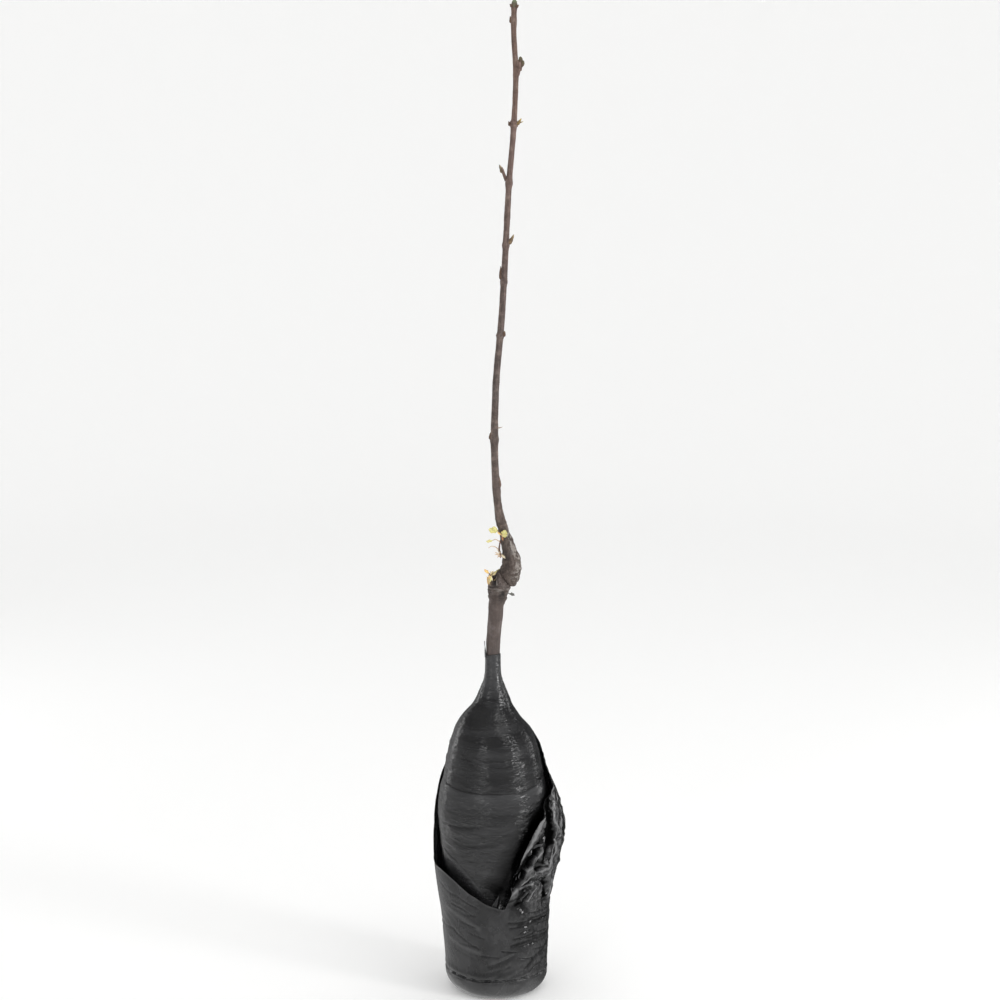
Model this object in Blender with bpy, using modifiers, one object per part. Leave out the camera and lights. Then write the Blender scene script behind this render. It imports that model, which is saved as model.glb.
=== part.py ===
# A grafted young cherry, dormant and bare but for a few withered leaves. Its root ball
# is wound in black stretch film and stands in a black polythene bag.
# Metres, +Z up. The origin is the middle of the bag's flat underside, -Y is the front
# and an azimuth is counted from the front towards the right hand, +X.

import math

import bmesh
import bpy
import numpy as np
from mathutils import Vector, noise

# Sizes that hold for the whole plant
TREE_HEIGHT = 1.254
FIT_GAP = 0.0003
LEAN = 0.0058
LEAN_REACH = 0.22

# Stretch film and the root ball in it, as (height, radius)
FILM_WALL = 0.0006
FILM_COLUMNS = 32
FILM_ROWS = 20
FILM_CORNER_ROWS = 4
FILM_ROW_EASE = 0.72
FILM_FOOT = 0.0014
FILM_CORNER = 0.024
FILM_OUTLINE = [
    (0.0200, 0.0530), (0.1000, 0.0585), (0.1500, 0.0622), (0.2000, 0.0668),
    (0.2350, 0.0690), (0.2620, 0.0682), (0.2800, 0.0645), (0.3140, 0.0585), (0.3460, 0.0490),
    (0.3620, 0.0400), (0.3800, 0.0248), (0.4000, 0.0156), (0.4140, 0.0108),
    (0.4220, 0.0100), (0.4430, 0.0098),
]
SHOULDER_HEIGHT = 0.362
SHOULDER_SPREAD = 0.016
SHOULDER_DROP = 0.0065
SOIL_HEIGHT = 0.350
BALL_SLACK = 0.0022
BALL_ROWS = 12
BALL_CORNER_ROWS = 3
BALL_ROW_EASE = 0.8

# Loose end of the film
TAIL_FOOT = 0.4385
TAIL_LENGTH = 0.0225
TAIL_WIDTH = 0.0070
TAIL_TAPER = 0.55
TAIL_WALL = 0.0004
TAIL_LIFT = 0.0016
TAIL_AZIMUTH = -100
TAIL_COLUMNS = 4
TAIL_ROWS = 6

# Polythene bag, with its mouth low in front and high behind
BAG_WALL = 0.0010
BAG_COLUMNS = 60
BAG_WALL_ROWS = 12
BAG_CORNER_ROWS = 5
BAG_CORNER_WIDTH = 0.021
BAG_CREASE_HEIGHT = 0.026
BAG_CREASE_DEPTH = 0.0006
BAG_CREASE_SPREAD = 0.004
BAG_GIRTH = [
    (0.0200, 0.0655), (0.1000, 0.0700), (0.1400, 0.0725), (0.1800, 0.0745),
    (0.2400, 0.0750), (0.2900, 0.0690), (0.3450, 0.0572),
]
BAG_RIM = [
    (-180, 0.340), (-140, 0.315), (-106, 0.272), (-88, 0.172), (-55, 0.167),
    (-33, 0.152), (-8, 0.134), (9, 0.128), (26, 0.190), (48, 0.240),
    (75, 0.272), (97, 0.298), (122, 0.332), (145, 0.345), (180, 0.340),
]
LEFT_FLARE = [(0.100, 0.0), (0.170, 0.0035), (0.215, 0.0030), (0.270, 0.0), (0.345, 0.0)]
FLARE_AZIMUTH = -95
FLARE_SPREAD = 70
RIGHT_LOBE = [
    (0.125, 0.0), (0.164, 0.0062), (0.218, 0.0145), (0.240, 0.0115),
    (0.272, 0.0050), (0.300, 0.0), (0.345, 0.0),
]
LOBE_AZIMUTH = 88
LOBE_SPREAD = 62
PLEAT_DEPTH = 0.0034
PLEAT_PITCH = 27
PLEAT_RISE = 0.085
PLEAT_AZIMUTH = 58
PLEAT_SPREAD = 62
PLEAT_START = 0.115
PLEAT_FULL = 0.165

# Woody stems, as (height, distance to the right of the origin, radius)
ROOTSTOCK = [
    (0.3503, -0.0048, 0.0125), (0.3680, -0.0048, 0.0096), (0.4000, -0.0049, 0.0086),
    (0.4450, -0.0047, 0.0085), (0.4600, -0.0044, 0.0090), (0.4760, -0.0031, 0.0092),
    (0.4910, -0.0018, 0.0094), (0.5075, -0.0008, 0.0098), (0.5126, 0.0004, 0.0107),
    (0.5255, 0.0017, 0.0127), (0.5319, 0.0030, 0.0140), (0.5387, 0.0026, 0.0144),
    (0.5540, 0.0020, 0.0136),
]
SCION = [
    (0.5330, 0.0135, 0.0105), (0.5400, 0.0150, 0.0120), (0.5476, 0.0163, 0.0128),
    (0.5565, 0.0186, 0.0124), (0.5642, 0.0184, 0.0116), (0.5693, 0.0172, 0.0110),
    (0.5770, 0.0155, 0.0094), (0.5897, 0.0118, 0.0075), (0.6010, 0.0091, 0.0066),
    (0.6154, 0.0045, 0.0059), (0.6300, 0.0020, 0.0051), (0.6700, -0.0016, 0.0047),
    (0.7180, -0.0030, 0.0045), (0.7830, -0.0012, 0.0042), (0.8720, 0.0062, 0.0041),
    (0.9450, 0.0104, 0.0038), (1.0340, 0.0150, 0.0036), (1.1000, 0.0205, 0.0034),
    (1.1650, 0.0232, 0.0032), (1.2200, 0.0206, 0.0033), (1.2600, 0.0215, 0.0034),
]
BOW_DEPTH = 0.005
KNEE_TOP = 0.600
LEADER_TOP = 1.2450
GRAFT_POINT = (0.0116, 0.0, 0.5425)
GRAFT_NORMAL = (0.70, -0.12, 0.70)
SNAG_POINT = (-0.0048, 0.0, 0.5455)
SNAG_NORMAL = (-0.50, -0.22, 0.84)
NODE_SWELL = 0.0006
NODE_SPREAD = 0.006
LUMP_DEPTH = 0.0012
LUMP_SIZE = 0.012
CUT_CLEARANCE = 0.0005
STEM_OVERRUN = 0.006
STEM_STEP = 0.004
SHARP_EDGE = 50

# Rings along each stem and the sides of each ring
STEM_RINGS = {"rootstock": (24, 14), "knee": (15, 14), "leader": (42, 10)}

# Buds and spurs: name, height of foot, azimuth, length, thickness, angle off the stem
BUDS = [
    ("bud_under_tip", 1.2265, -100, 0.0085, 0.0042, 22),
    ("spur_top", 1.1640, 82, 0.0240, 0.0060, 11),
    ("bud_yellow", 1.1055, 78, 0.0095, 0.0040, 40),
    ("bud_yellow_side", 1.1040, -80, 0.0060, 0.0035, 35),
    ("spur_left", 1.0380, -92, 0.0205, 0.0046, 33),
    ("bud_right", 0.9610, 84, 0.0140, 0.0048, 34),
    ("bud_back_high", 0.9930, 178, 0.0110, 0.0045, 28),
    ("bud_left", 0.9170, -88, 0.0180, 0.0040, 12),
    ("bud_ring", 0.8480, 70, 0.0070, 0.0046, 20),
    ("bud_back_low", 0.7900, -168, 0.0095, 0.0045, 24),
    ("bud_flush_left", 0.7180, -96, 0.0090, 0.0046, 12),
    ("leaf_scar_stub", 0.7330, 62, 0.0080, 0.0014, 80),
    ("bud_ridge", 0.6560, 86, 0.0220, 0.0046, 5),
]
TIP_BUD_RADIUS = 0.0037
TIP_BUD_DOME = 0.0004
TIP_BUD_FOOT_SHARE = 0.25
TIP_BUD_SHARE = 0.70
BUD_SIDES = 8
BUD_RINGS = 7
BUD_STEP = 0.005
BUD_SUNK = 0.30
BUD_CURL = 0.12

# Thickness of a bud along its length, as a share of the thickest
BUD_OUTLINE = [(0.0, 0.72), (0.35, 1.0), (0.65, 0.86), (0.88, 0.45), (1.0, 0.12)]

# Withered growth. A shoot is its points and its radius at foot and tip; a leaf is the place
# of its foot, its heading, the way it faces, its length, its width and its curl.
SHOOT_SIDES = 6
SHOOT_STEPS = 3
LEAF_COLUMNS = 2
LEAF_ROWS = 4
LEAF_WALL = 0.0005
LEAF_FOLD = 0.35
LEAF_OUTLINE = [(0.0, 0.16), (0.25, 0.72), (0.5, 1.0), (0.8, 0.62), (1.0, 0.10)]
TO_FRONT = (0.0, -1.0, 0.1)
TUFTS = {
    "upper_leaf_tuft": {
        "finish": "yellow_leaf",
        "beside": ("leader", "knee"),
        "shoots": [
            ([(0.0090, -0.0050, 0.5935), (0.0058, -0.0090, 0.5975), (0.0010, -0.0092, 0.6045)],
             0.0011, 0.0007),
            ([(0.0060, -0.0088, 0.5972), (0.0078, -0.0105, 0.5975)], 0.0009, 0.0008),
        ],
        "leaves": [
            ((0.0018, -0.0092, 0.6036), (-1.0, 0.0, 0.12), TO_FRONT, 0.0124, 0.0092, 0.08),
            ((0.0022, -0.0092, 0.6030), (-0.55, -0.1, 0.83), TO_FRONT, 0.0070, 0.0050, 0.12),
            ((0.0074, -0.0102, 0.5972), (0.50, -0.10, 0.85), TO_FRONT, 0.0092, 0.0086, 0.10),
            ((0.0072, -0.0102, 0.5974), (0.75, -0.25, 0.10), TO_FRONT, 0.0056, 0.0046, 0.12),
        ],
    },
    "side_shoot": {
        "finish": "dry_leaf",
        "beside": ("leader", "knee"),
        "shoots": [
            ([(0.0110, -0.0040, 0.5680), (0.0053, -0.0055, 0.5720), (0.0030, -0.0052, 0.5795),
              (0.0036, -0.0052, 0.5850), (0.0046, -0.0054, 0.5910)], 0.0014, 0.0007),
            ([(0.0042, -0.0053, 0.5885), (-0.0017, -0.0055, 0.5918), (-0.0058, -0.0055, 0.5902)],
             0.0006, 0.0005),
            ([(0.0032, -0.0052, 0.5782), (-0.0023, -0.0060, 0.5824), (-0.0067, -0.0060, 0.5832),
              (-0.0104, -0.0058, 0.5809)], 0.0006, 0.0004),
        ],
        "leaves": [
            ((-0.0050, -0.0055, 0.5904), (-1.0, 0.0, -0.17), TO_FRONT, 0.0088, 0.0034, 0.05),
            ((0.0046, -0.0056, 0.5728), (-0.85, -0.3, 0.40), TO_FRONT, 0.0095, 0.0032, 0.15),
            ((0.0048, -0.0056, 0.5724), (-0.95, -0.2, 0.02), TO_FRONT, 0.0080, 0.0030, 0.10),
            ((0.0052, -0.0060, 0.5725), (0.58, -0.72, -0.36), TO_FRONT, 0.0100, 0.0036, 0.05),
        ],
    },
    "lower_leaf_tuft": {
        "finish": "yellow_leaf",
        "beside": ("rootstock", "knee"),
        "shoots": [
            ([(-0.0052, -0.0050, 0.5410), (-0.0078, -0.0072, 0.5452), (-0.0098, -0.0080, 0.5490)],
             0.0014, 0.0008),
        ],
        "leaves": [
            ((-0.0094, -0.0080, 0.5482), (-0.74, 0.0, 0.67), TO_FRONT, 0.0088, 0.0036, 0.10),
            ((-0.0088, -0.0078, 0.5474), (0.70, -0.25, 0.62), TO_FRONT, 0.0085, 0.0046, 0.10),
            ((-0.0082, -0.0075, 0.5462), (-0.50, -0.75, -0.25), TO_FRONT, 0.0070, 0.0048, 0.10),
            ((-0.0080, -0.0076, 0.5458), (0.30, -0.90, -0.30), TO_FRONT, 0.0075, 0.0042, 0.10),
        ],
    },
    "withered_bud": {
        "finish": "withered",
        "beside": ("rootstock",),
        "shoots": [
            ([(0.0090, -0.0040, 0.5240), (0.0140, -0.0055, 0.5228), (0.0172, -0.0055, 0.5212)],
             0.0007, 0.0005),
        ],
        "leaves": [
            ((0.0160, -0.0055, 0.5217), (0.92, -0.1, -0.30), (0.0, -0.6, 0.8), 0.0068, 0.0044, 0.10),
            ((0.0160, -0.0055, 0.5217), (0.80, -0.2, 0.10), (0.0, -0.9, 0.2), 0.0055, 0.0034, 0.10),
        ],
    },
}

# Colours and finishes, as (red, green, blue), roughness
FINISHES = {
    "polythene": ((0.030, 0.030, 0.032), 0.32),
    "stretch_film": ((0.026, 0.026, 0.028), 0.28),
    "soil": ((0.060, 0.042, 0.030), 0.95),
    "old_bark": ((0.105, 0.082, 0.074), 0.80),
    "graft_bark": ((0.070, 0.052, 0.044), 0.88),
    "young_bark": ((0.160, 0.105, 0.088), 0.62),
    "bud_scale": ((0.150, 0.090, 0.055), 0.70),
    "yellow_leaf": ((0.560, 0.500, 0.110), 0.60),
    "dry_leaf": ((0.480, 0.330, 0.150), 0.75),
    "withered": ((0.080, 0.070, 0.065), 0.85),
}


def clear_scene():
    for item in list(bpy.data.objects):
        bpy.data.objects.remove(item, do_unlink=True)


def collection(name):
    made = bpy.data.collections.new(name)
    bpy.context.scene.collection.children.link(made)
    return made


def material(name):
    colour, roughness = FINISHES[name]
    made = bpy.data.materials.get(name) or bpy.data.materials.new(name)
    made.use_nodes = True
    shader = made.node_tree.nodes["Principled BSDF"]
    shader.inputs["Base Color"].default_value = (*colour, 1.0)
    shader.inputs["Roughness"].default_value = roughness
    shader.inputs["Metallic"].default_value = 0.0
    return made


def through(stations, at):
    """Value at a position, on a smooth curve through (position, value) stations."""
    x, y = (np.array(column, float) for column in zip(*stations))
    rise = np.diff(y) / np.diff(x)
    slope = np.concatenate(([rise[0]], np.zeros(len(x) - 2), [rise[-1]]))
    for i in range(1, len(x) - 1):
        before, after = rise[i - 1], rise[i]
        if before * after > 0:
            slope[i] = 2 * before * after / (before + after)
    at = min(max(at, x[0]), x[-1])
    i = min(int(np.searchsorted(x, at, side="right")) - 1, len(x) - 2)
    width = x[i + 1] - x[i]
    t = (at - x[i]) / width
    return float(
        y[i] * (1 + 2 * t) * (1 - t) ** 2
        + slope[i] * width * t * (1 - t) ** 2
        + y[i + 1] * t * t * (3 - 2 * t)
        + slope[i + 1] * width * t * t * (t - 1)
    )


def smooth_step(low, high, at):
    t = min(max((at - low) / (high - low), 0.0), 1.0)
    return t * t * (3 - 2 * t)


def bump(centre, spread, at):
    """One at the centre, falling smoothly to nothing a spread away."""
    distance = min(abs(at - centre) / spread, 1.0)
    return (1 - distance * distance) ** 2


def triangle_wave(at):
    """From -1 to 1 and back, once for each whole number."""
    return 4 * abs(at - math.floor(at) - 0.5) - 1


def around(azimuth, radius, height):
    """Point at an azimuth in degrees round the leaning axis of the wrapped root ball."""
    turn = math.radians(azimuth)
    middle = -LEAN * (1 - math.exp(-height / LEAN_REACH))
    return Vector((middle + radius * math.sin(turn), -radius * math.cos(turn), height))


def corner(row, rows, inner, foot, width, rise):
    """Radius and height at a row of a rounded bottom corner: row 1 is flat, the last upright."""
    turn = math.radians(90 * (row - 1) / (rows - 1))
    return inner + width * math.sin(turn), foot + rise * (1 - math.cos(turn))


def film_radius(azimuth, height):
    to_right = (1 + math.sin(math.radians(azimuth))) / 2
    off = (height - SHOULDER_HEIGHT) / SHOULDER_SPREAD
    return through(FILM_OUTLINE, height) - SHOULDER_DROP * to_right * math.exp(-off * off)


def pleats(azimuth, height):
    """Folds that climb to the right across the gathered side of the bag."""
    depth = PLEAT_DEPTH * bump(PLEAT_AZIMUTH, PLEAT_SPREAD, azimuth)
    depth *= smooth_step(PLEAT_START, PLEAT_FULL, height)
    return depth * triangle_wave(azimuth / PLEAT_PITCH - (height - PLEAT_START) / PLEAT_RISE)


def bag_radius(azimuth, height):
    radius = through(BAG_GIRTH, height)
    radius += through(LEFT_FLARE, height) * bump(FLARE_AZIMUTH, FLARE_SPREAD, azimuth)
    radius += through(RIGHT_LOBE, height) * bump(LOBE_AZIMUTH, LOBE_SPREAD, azimuth)
    crease = (height - BAG_CREASE_HEIGHT) / BAG_CREASE_SPREAD
    radius -= BAG_CREASE_DEPTH * math.exp(-crease * crease)
    return radius + pleats(azimuth, height)


def scion_point(height):
    across = through([(z, x) for z, x, _ in SCION], height)
    climb = min(max((height - KNEE_TOP) / (TREE_HEIGHT - KNEE_TOP), 0.0), 1.0)
    return Vector((across, -BOW_DEPTH * (1 - math.cos(2 * math.pi * climb)) / 2, height))


def scion_radius(height):
    radius = through([(z, r) for z, _, r in SCION], height)
    for _, foot, _, _, _, _ in BUDS:
        off = (height - foot) / NODE_SPREAD
        radius += NODE_SWELL * math.exp(-off * off)
    return radius


def rootstock_point(height):
    return Vector((through([(z, x) for z, x, _ in ROOTSTOCK], height), 0.0, height))


def rootstock_radius(height):
    return through([(z, r) for z, _, r in ROOTSTOCK], height)


def put(name, mesh, finish, folder):
    made = bpy.data.objects.new(name, mesh)
    folder.objects.link(made)
    if finish:
        mesh.materials.clear()
        mesh.materials.append(material(finish))
    return made


def clean_mesh(name, bm, weld):
    """Mesh from bm with its doubles welded, scraps dissolved and faces turned out."""
    bmesh.ops.remove_doubles(bm, verts=bm.verts, dist=weld)
    bmesh.ops.dissolve_degenerate(bm, edges=bm.edges, dist=weld)
    bmesh.ops.recalc_face_normals(bm, faces=bm.faces)
    mesh = bpy.data.meshes.new(name)
    bm.to_mesh(mesh)
    bm.free()
    return mesh


def mapped_sheet(name, columns, rows, place, finish, folder):
    """Grid whose corners (u, v), from 0 to 1, move to place(u, v). Its seam and poles are welded."""
    bm = bmesh.new()
    bmesh.ops.create_grid(bm, x_segments=columns, y_segments=rows, size=0.5)
    for corner in bm.verts:
        corner.co = place(corner.co.x + 0.5, corner.co.y + 0.5)
    made = put(name, clean_mesh(name, bm, 1e-6), finish, folder)
    made.data.shade_smooth()
    return made


def as_mesh(source, name, finish, folder, weld=1e-6):
    """Mesh object from what another object evaluates to. The source is removed."""
    bpy.context.view_layer.update()
    ready = source.evaluated_get(bpy.context.evaluated_depsgraph_get())
    raw = bpy.data.meshes.new_from_object(ready)
    bm = bmesh.new()
    bm.from_mesh(raw)
    bm.transform(source.matrix_world)
    bpy.data.meshes.remove(raw)
    bpy.data.objects.remove(source, do_unlink=True)
    return put(name, clean_mesh(name, bm, weld), finish, folder)


def limb(name, path, radii, sides, finish, folder):
    """Tapering limb with flat ends, from a curve whose bevel follows the radius at each point."""
    curve = bpy.data.curves.new(name + "_line", "CURVE")
    curve.dimensions = "3D"
    curve.bevel_depth = 1.0
    curve.bevel_resolution = (sides - 4) // 2
    curve.use_fill_caps = True
    line = curve.splines.new("POLY")
    line.points.add(len(path) - 1)
    for point, place, radius in zip(line.points, path, radii):
        point.co = (*place, 1.0)
        point.radius = radius
    drawn = bpy.data.objects.new(name + "_line", curve)
    folder.objects.link(drawn)
    made = as_mesh(drawn, name, finish, folder)
    made.data.set_sharp_from_angle(angle=math.radians(SHARP_EDGE))
    made.data.shade_smooth()
    return made


def trim(item, point, normal):
    """Keeps what lies behind a plane, and fills the cut flat."""
    bm = bmesh.new()
    bm.from_mesh(item.data)
    whole = bm.verts[:] + bm.edges[:] + bm.faces[:]
    bmesh.ops.bisect_plane(bm, geom=whole, plane_co=point, plane_no=normal, clear_outer=True)
    rim = [edge for edge in bm.edges if edge.is_boundary]
    bmesh.ops.holes_fill(bm, edges=rim, sides=0)
    bmesh.ops.recalc_face_normals(bm, faces=bm.faces)
    bm.to_mesh(item.data)
    bm.free()


def lump(item):
    """Pushes the skin in and out by smooth noise, as a callused graft swells."""
    for corner in item.data.vertices:
        corner.co += corner.normal * LUMP_DEPTH * noise.noise(corner.co / LUMP_SIZE)


def build_root_ball(folder):
    """Solid ball of damp growing medium, a little inside the film and flat on top."""
    inset = FILM_WALL + BALL_SLACK
    foot = FILM_FOOT + FILM_WALL + FIT_GAP

    def place(u, v):
        azimuth = 360 * u
        row = round(v * BALL_ROWS)
        if row == 0:
            return around(azimuth, 0.0, foot)
        if row == BALL_ROWS:
            return around(azimuth, 0.0, SOIL_HEIGHT)
        if row <= BALL_CORNER_ROWS:
            inner = film_radius(azimuth, FILM_CORNER) - inset - FILM_CORNER
            tuck = corner(row, BALL_CORNER_ROWS, inner, foot, FILM_CORNER, FILM_CORNER)
            return around(azimuth, *tuck)
        start = foot + FILM_CORNER
        climb = (row - BALL_CORNER_ROWS) / (BALL_ROWS - 1 - BALL_CORNER_ROWS)
        height = start + (SOIL_HEIGHT - start) * climb ** BALL_ROW_EASE
        return around(azimuth, film_radius(azimuth, height) - inset, height)

    mapped_sheet("root_ball", FILM_COLUMNS, BALL_ROWS, place, "soil", folder)


def build_film(folder):
    """Stretch film wound from under the ball up to the stem, as an open skin with a wall."""
    top = FILM_OUTLINE[-1][0]

    def place(u, v):
        azimuth = 360 * u
        row = round(v * FILM_ROWS)
        if row == 0:
            return around(azimuth, 0.0, FILM_FOOT)
        if row <= FILM_CORNER_ROWS:
            inner = film_radius(azimuth, FILM_CORNER) - FILM_CORNER
            tuck = corner(row, FILM_CORNER_ROWS, inner, FILM_FOOT, FILM_CORNER, FILM_CORNER)
            return around(azimuth, *tuck)
        climb = (row - FILM_CORNER_ROWS) / (FILM_ROWS - FILM_CORNER_ROWS)
        start = FILM_FOOT + FILM_CORNER
        height = start + (top - start) * climb ** FILM_ROW_EASE
        return around(azimuth, film_radius(azimuth, height), height)

    film = mapped_sheet("stretch_film", FILM_COLUMNS, FILM_ROWS, place, "stretch_film", folder)
    wall = film.modifiers.new("wall", "SOLIDIFY")
    wall.thickness = FILM_WALL
    wall.offset = -1


def build_bag(folder):
    """Polythene bag: flat underside, tucked corner, crease, and a wall up to a slanting mouth."""
    rows = BAG_CORNER_ROWS + BAG_WALL_ROWS

    def place(u, v):
        azimuth = 360 * u - 180
        row = round(v * rows)
        if row == 0:
            return around(azimuth, 0.0, 0.0)
        if row <= BAG_CORNER_ROWS:
            inner = bag_radius(azimuth, BAG_CREASE_HEIGHT) - BAG_CORNER_WIDTH
            tuck = corner(row, BAG_CORNER_ROWS, inner, 0.0, BAG_CORNER_WIDTH, BAG_CREASE_HEIGHT)
            return around(azimuth, *tuck)
        climb = (row - BAG_CORNER_ROWS) / BAG_WALL_ROWS
        rim = through(BAG_RIM, azimuth)
        height = BAG_CREASE_HEIGHT + (rim - BAG_CREASE_HEIGHT) * climb
        return around(azimuth, bag_radius(azimuth, height), height)

    bag = mapped_sheet("outer_bag", BAG_COLUMNS, rows, place, "polythene", folder)
    wall = bag.modifiers.new("wall", "SOLIDIFY")
    wall.thickness = BAG_WALL
    wall.offset = -1


def evenly(low, high, count):
    return [low + (high - low) * i / (count - 1) for i in range(count)]


def stem(name, label, extra, finish, folder):
    """One stem by name, its radius made larger by extra."""
    point, radius, low, high = {
        "rootstock": (rootstock_point, rootstock_radius, ROOTSTOCK[0][0], ROOTSTOCK[-1][0]),
        "knee": (scion_point, scion_radius, SCION[0][0], KNEE_TOP + STEM_OVERRUN),
        "leader": (scion_point, scion_radius, KNEE_TOP - STEM_OVERRUN, LEADER_TOP),
    }[name]
    count, sides = STEM_RINGS[name]
    rings = evenly(low, high, count)
    path = [point(z) for z in rings]
    radii = [radius(z) + extra for z in rings]
    return limb(label, path, radii, sides, finish, folder)


def trim_rootstock(rootstock, clearance):
    """Graft face on the right, and on the left the stub where the old top was cut away."""
    for point, normal in ((GRAFT_POINT, GRAFT_NORMAL), (SNAG_POINT, SNAG_NORMAL)):
        outward = Vector(normal).normalized()
        trim(rootstock, Vector(point) + outward * clearance, outward)


def build_stems(folder):
    """Rootstock with its slanting cuts, the swollen knee grafted to it, and the leader that grew on."""
    rootstock = stem("rootstock", "rootstock_stem", 0.0, "old_bark", folder)
    trim_rootstock(rootstock, 0.0)

    joint = scion_point(KNEE_TOP)
    along = (scion_point(KNEE_TOP + STEM_STEP) - scion_point(KNEE_TOP - STEM_STEP)).normalized()
    graft_normal = Vector(GRAFT_NORMAL).normalized()
    knee = stem("knee", "graft_knee", 0.0, "graft_bark", folder)
    lump(knee)
    trim(knee, joint, along)
    trim(knee, Vector(GRAFT_POINT) + graft_normal * FIT_GAP, -graft_normal)

    leader = stem("leader", "leader", 0.0, "young_bark", folder)
    trim(leader, joint + along * FIT_GAP, -along)


def build_cutters(folder):
    """Stems a little fatter than the real ones, which trim whatever grows on them."""
    made = {}
    for name in ("rootstock", "knee", "leader"):
        cutter = stem(name, name + "_cutter", CUT_CLEARANCE, None, folder)
        cutter.hide_render = True
        cutter.display_type = "WIRE"
        made[name] = cutter
    lump(made["knee"])
    trim_rootstock(made["rootstock"], CUT_CLEARANCE)
    return made


def cut_away(item, cutter):
    cut = item.modifiers.new("clear_of_" + cutter.name, "BOOLEAN")
    cut.operation = "DIFFERENCE"
    cut.object = cutter


def bud_profile(share):
    """Stout foot, swelling and blunt point of a bud, as a share of its thickness."""
    return through(BUD_OUTLINE, share)


def build_buds(folder, cutters):
    for name, foot, azimuth, length, thickness, lean in BUDS:
        start = scion_point(foot)
        upward = (scion_point(foot + BUD_STEP) - scion_point(foot - BUD_STEP)).normalized()
        turn = math.radians(azimuth)
        outward = Vector((math.sin(turn), -math.cos(turn), 0.0))
        outward = (outward - upward * outward.dot(upward)).normalized()
        angle = math.radians(lean)
        heading = upward * math.cos(angle) + outward * math.sin(angle)
        start += outward * (scion_radius(foot) - thickness * BUD_SUNK)
        curl = upward * math.sin(angle) - outward * math.cos(angle)
        shares = evenly(0.0, 1.0, BUD_RINGS)
        path = [start + heading * length * s + curl * length * BUD_CURL * s * s for s in shares]
        radii = [thickness / 2 * bud_profile(s) for s in shares]
        bud = limb(name, path, radii, BUD_SIDES, "bud_scale", folder)
        cut_away(bud, cutters["leader"])

    foot = LEADER_TOP + FIT_GAP
    shares = evenly(0.0, 1.0, BUD_RINGS)
    span = TREE_HEIGHT - foot
    rises = [FIT_GAP + TIP_BUD_DOME * (1 - s) + span * s for s in shares]
    path = [scion_point(LEADER_TOP) + Vector((0.0, 0.0, rise)) for rise in rises]
    radii = [TIP_BUD_RADIUS * bud_profile(TIP_BUD_FOOT_SHARE + TIP_BUD_SHARE * s) for s in shares]
    limb("tip_bud", path, radii, BUD_SIDES, "bud_scale", folder)


def leaf(name, foot, heading, face, length, width, curl, folder):
    """Small blade: a grid drawn out to its outline, folded along its midrib and curled up."""
    heading = heading.normalized()
    side = heading.cross(face).normalized()
    up = side.cross(heading).normalized()

    def place(u, v):
        across = (2 * u - 1) * width / 2 * through(LEAF_OUTLINE, v)
        lift = abs(across) * LEAF_FOLD + curl * length * v * v
        return foot + heading * length * v + side * across + up * lift

    blade = mapped_sheet(name, LEAF_COLUMNS, LEAF_ROWS, place, None, folder)
    wall = blade.modifiers.new("wall", "SOLIDIFY")
    wall.thickness = LEAF_WALL
    wall.offset = 0
    return as_mesh(blade, name, None, folder)


def tuft(name, shoots, leaves, finish, folder, cutters):
    """Thin shoots and the leaves whose feet are sunk in them, joined by one union."""
    loose = collection(name + "_pieces")
    first = None
    for i, (path, thick, thin) in enumerate(shoots):
        line = [Vector(p) for p in path]
        count = SHOOT_STEPS * (len(line) - 1) + 1
        fine = []
        for k in range(count):
            at = k / (count - 1) * (len(line) - 1)
            place = [through([(j, p[axis]) for j, p in enumerate(line)], at) for axis in range(3)]
            fine.append(Vector(place))
        radii = [thick + (thin - thick) * k / (count - 1) for k in range(count)]
        shoot = limb(f"{name}_shoot_{i}", fine, radii, SHOOT_SIDES, None, loose)
        first = first or shoot
    for i, (foot, heading, face, length, width, curl) in enumerate(leaves):
        label = f"{name}_leaf_{i}"
        leaf(label, Vector(foot), Vector(heading), Vector(face), length, width, curl, loose)
    loose.objects.unlink(first)
    folder.objects.link(first)
    if loose.objects:
        join = first.modifiers.new("join", "BOOLEAN")
        join.operation = "UNION"
        join.operand_type = "COLLECTION"
        join.collection = loose
    made = as_mesh(first, name, finish, folder)
    for item in list(loose.objects):
        bpy.data.objects.remove(item, do_unlink=True)
    bpy.data.collections.remove(loose)
    for cutter in cutters:
        cut_away(made, cutter)


def build_tufts(folder, cutters):
    for name, growth in TUFTS.items():
        beside = [cutters[stem_name] for stem_name in growth["beside"]]
        tuft(name, growth["shoots"], growth["leaves"], growth["finish"], folder, beside)


def build_film_tail(folder):
    """Loose end of the film: it lies on the winding at its foot and lifts off the stem above."""

    def place(u, v):
        height = TAIL_FOOT + TAIL_LENGTH * v
        reach = film_radius(TAIL_AZIMUTH, height) + FIT_GAP + TAIL_WALL / 2 + TAIL_LIFT * v * v
        spread = math.degrees(TAIL_WIDTH / reach) * (1 - TAIL_TAPER * v)
        return around(TAIL_AZIMUTH + spread * (u - 0.5), reach, height)

    tail = mapped_sheet("film_tail", TAIL_COLUMNS, TAIL_ROWS, place, "stretch_film", folder)
    wall = tail.modifiers.new("wall", "SOLIDIFY")
    wall.thickness = TAIL_WALL
    wall.offset = 0


def main():
    clear_scene()
    tree = collection("potted_cherry_tree")
    tools = collection("cutters")
    build_root_ball(tree)
    build_film(tree)
    build_bag(tree)
    build_stems(tree)
    cutters = build_cutters(tools)
    build_buds(tree, cutters)
    build_tufts(tree, cutters)
    build_film_tail(tree)


main()
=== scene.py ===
import math

import bpy
import numpy as np
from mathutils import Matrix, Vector
from mathutils.geometry import delaunay_2d_cdt


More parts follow.
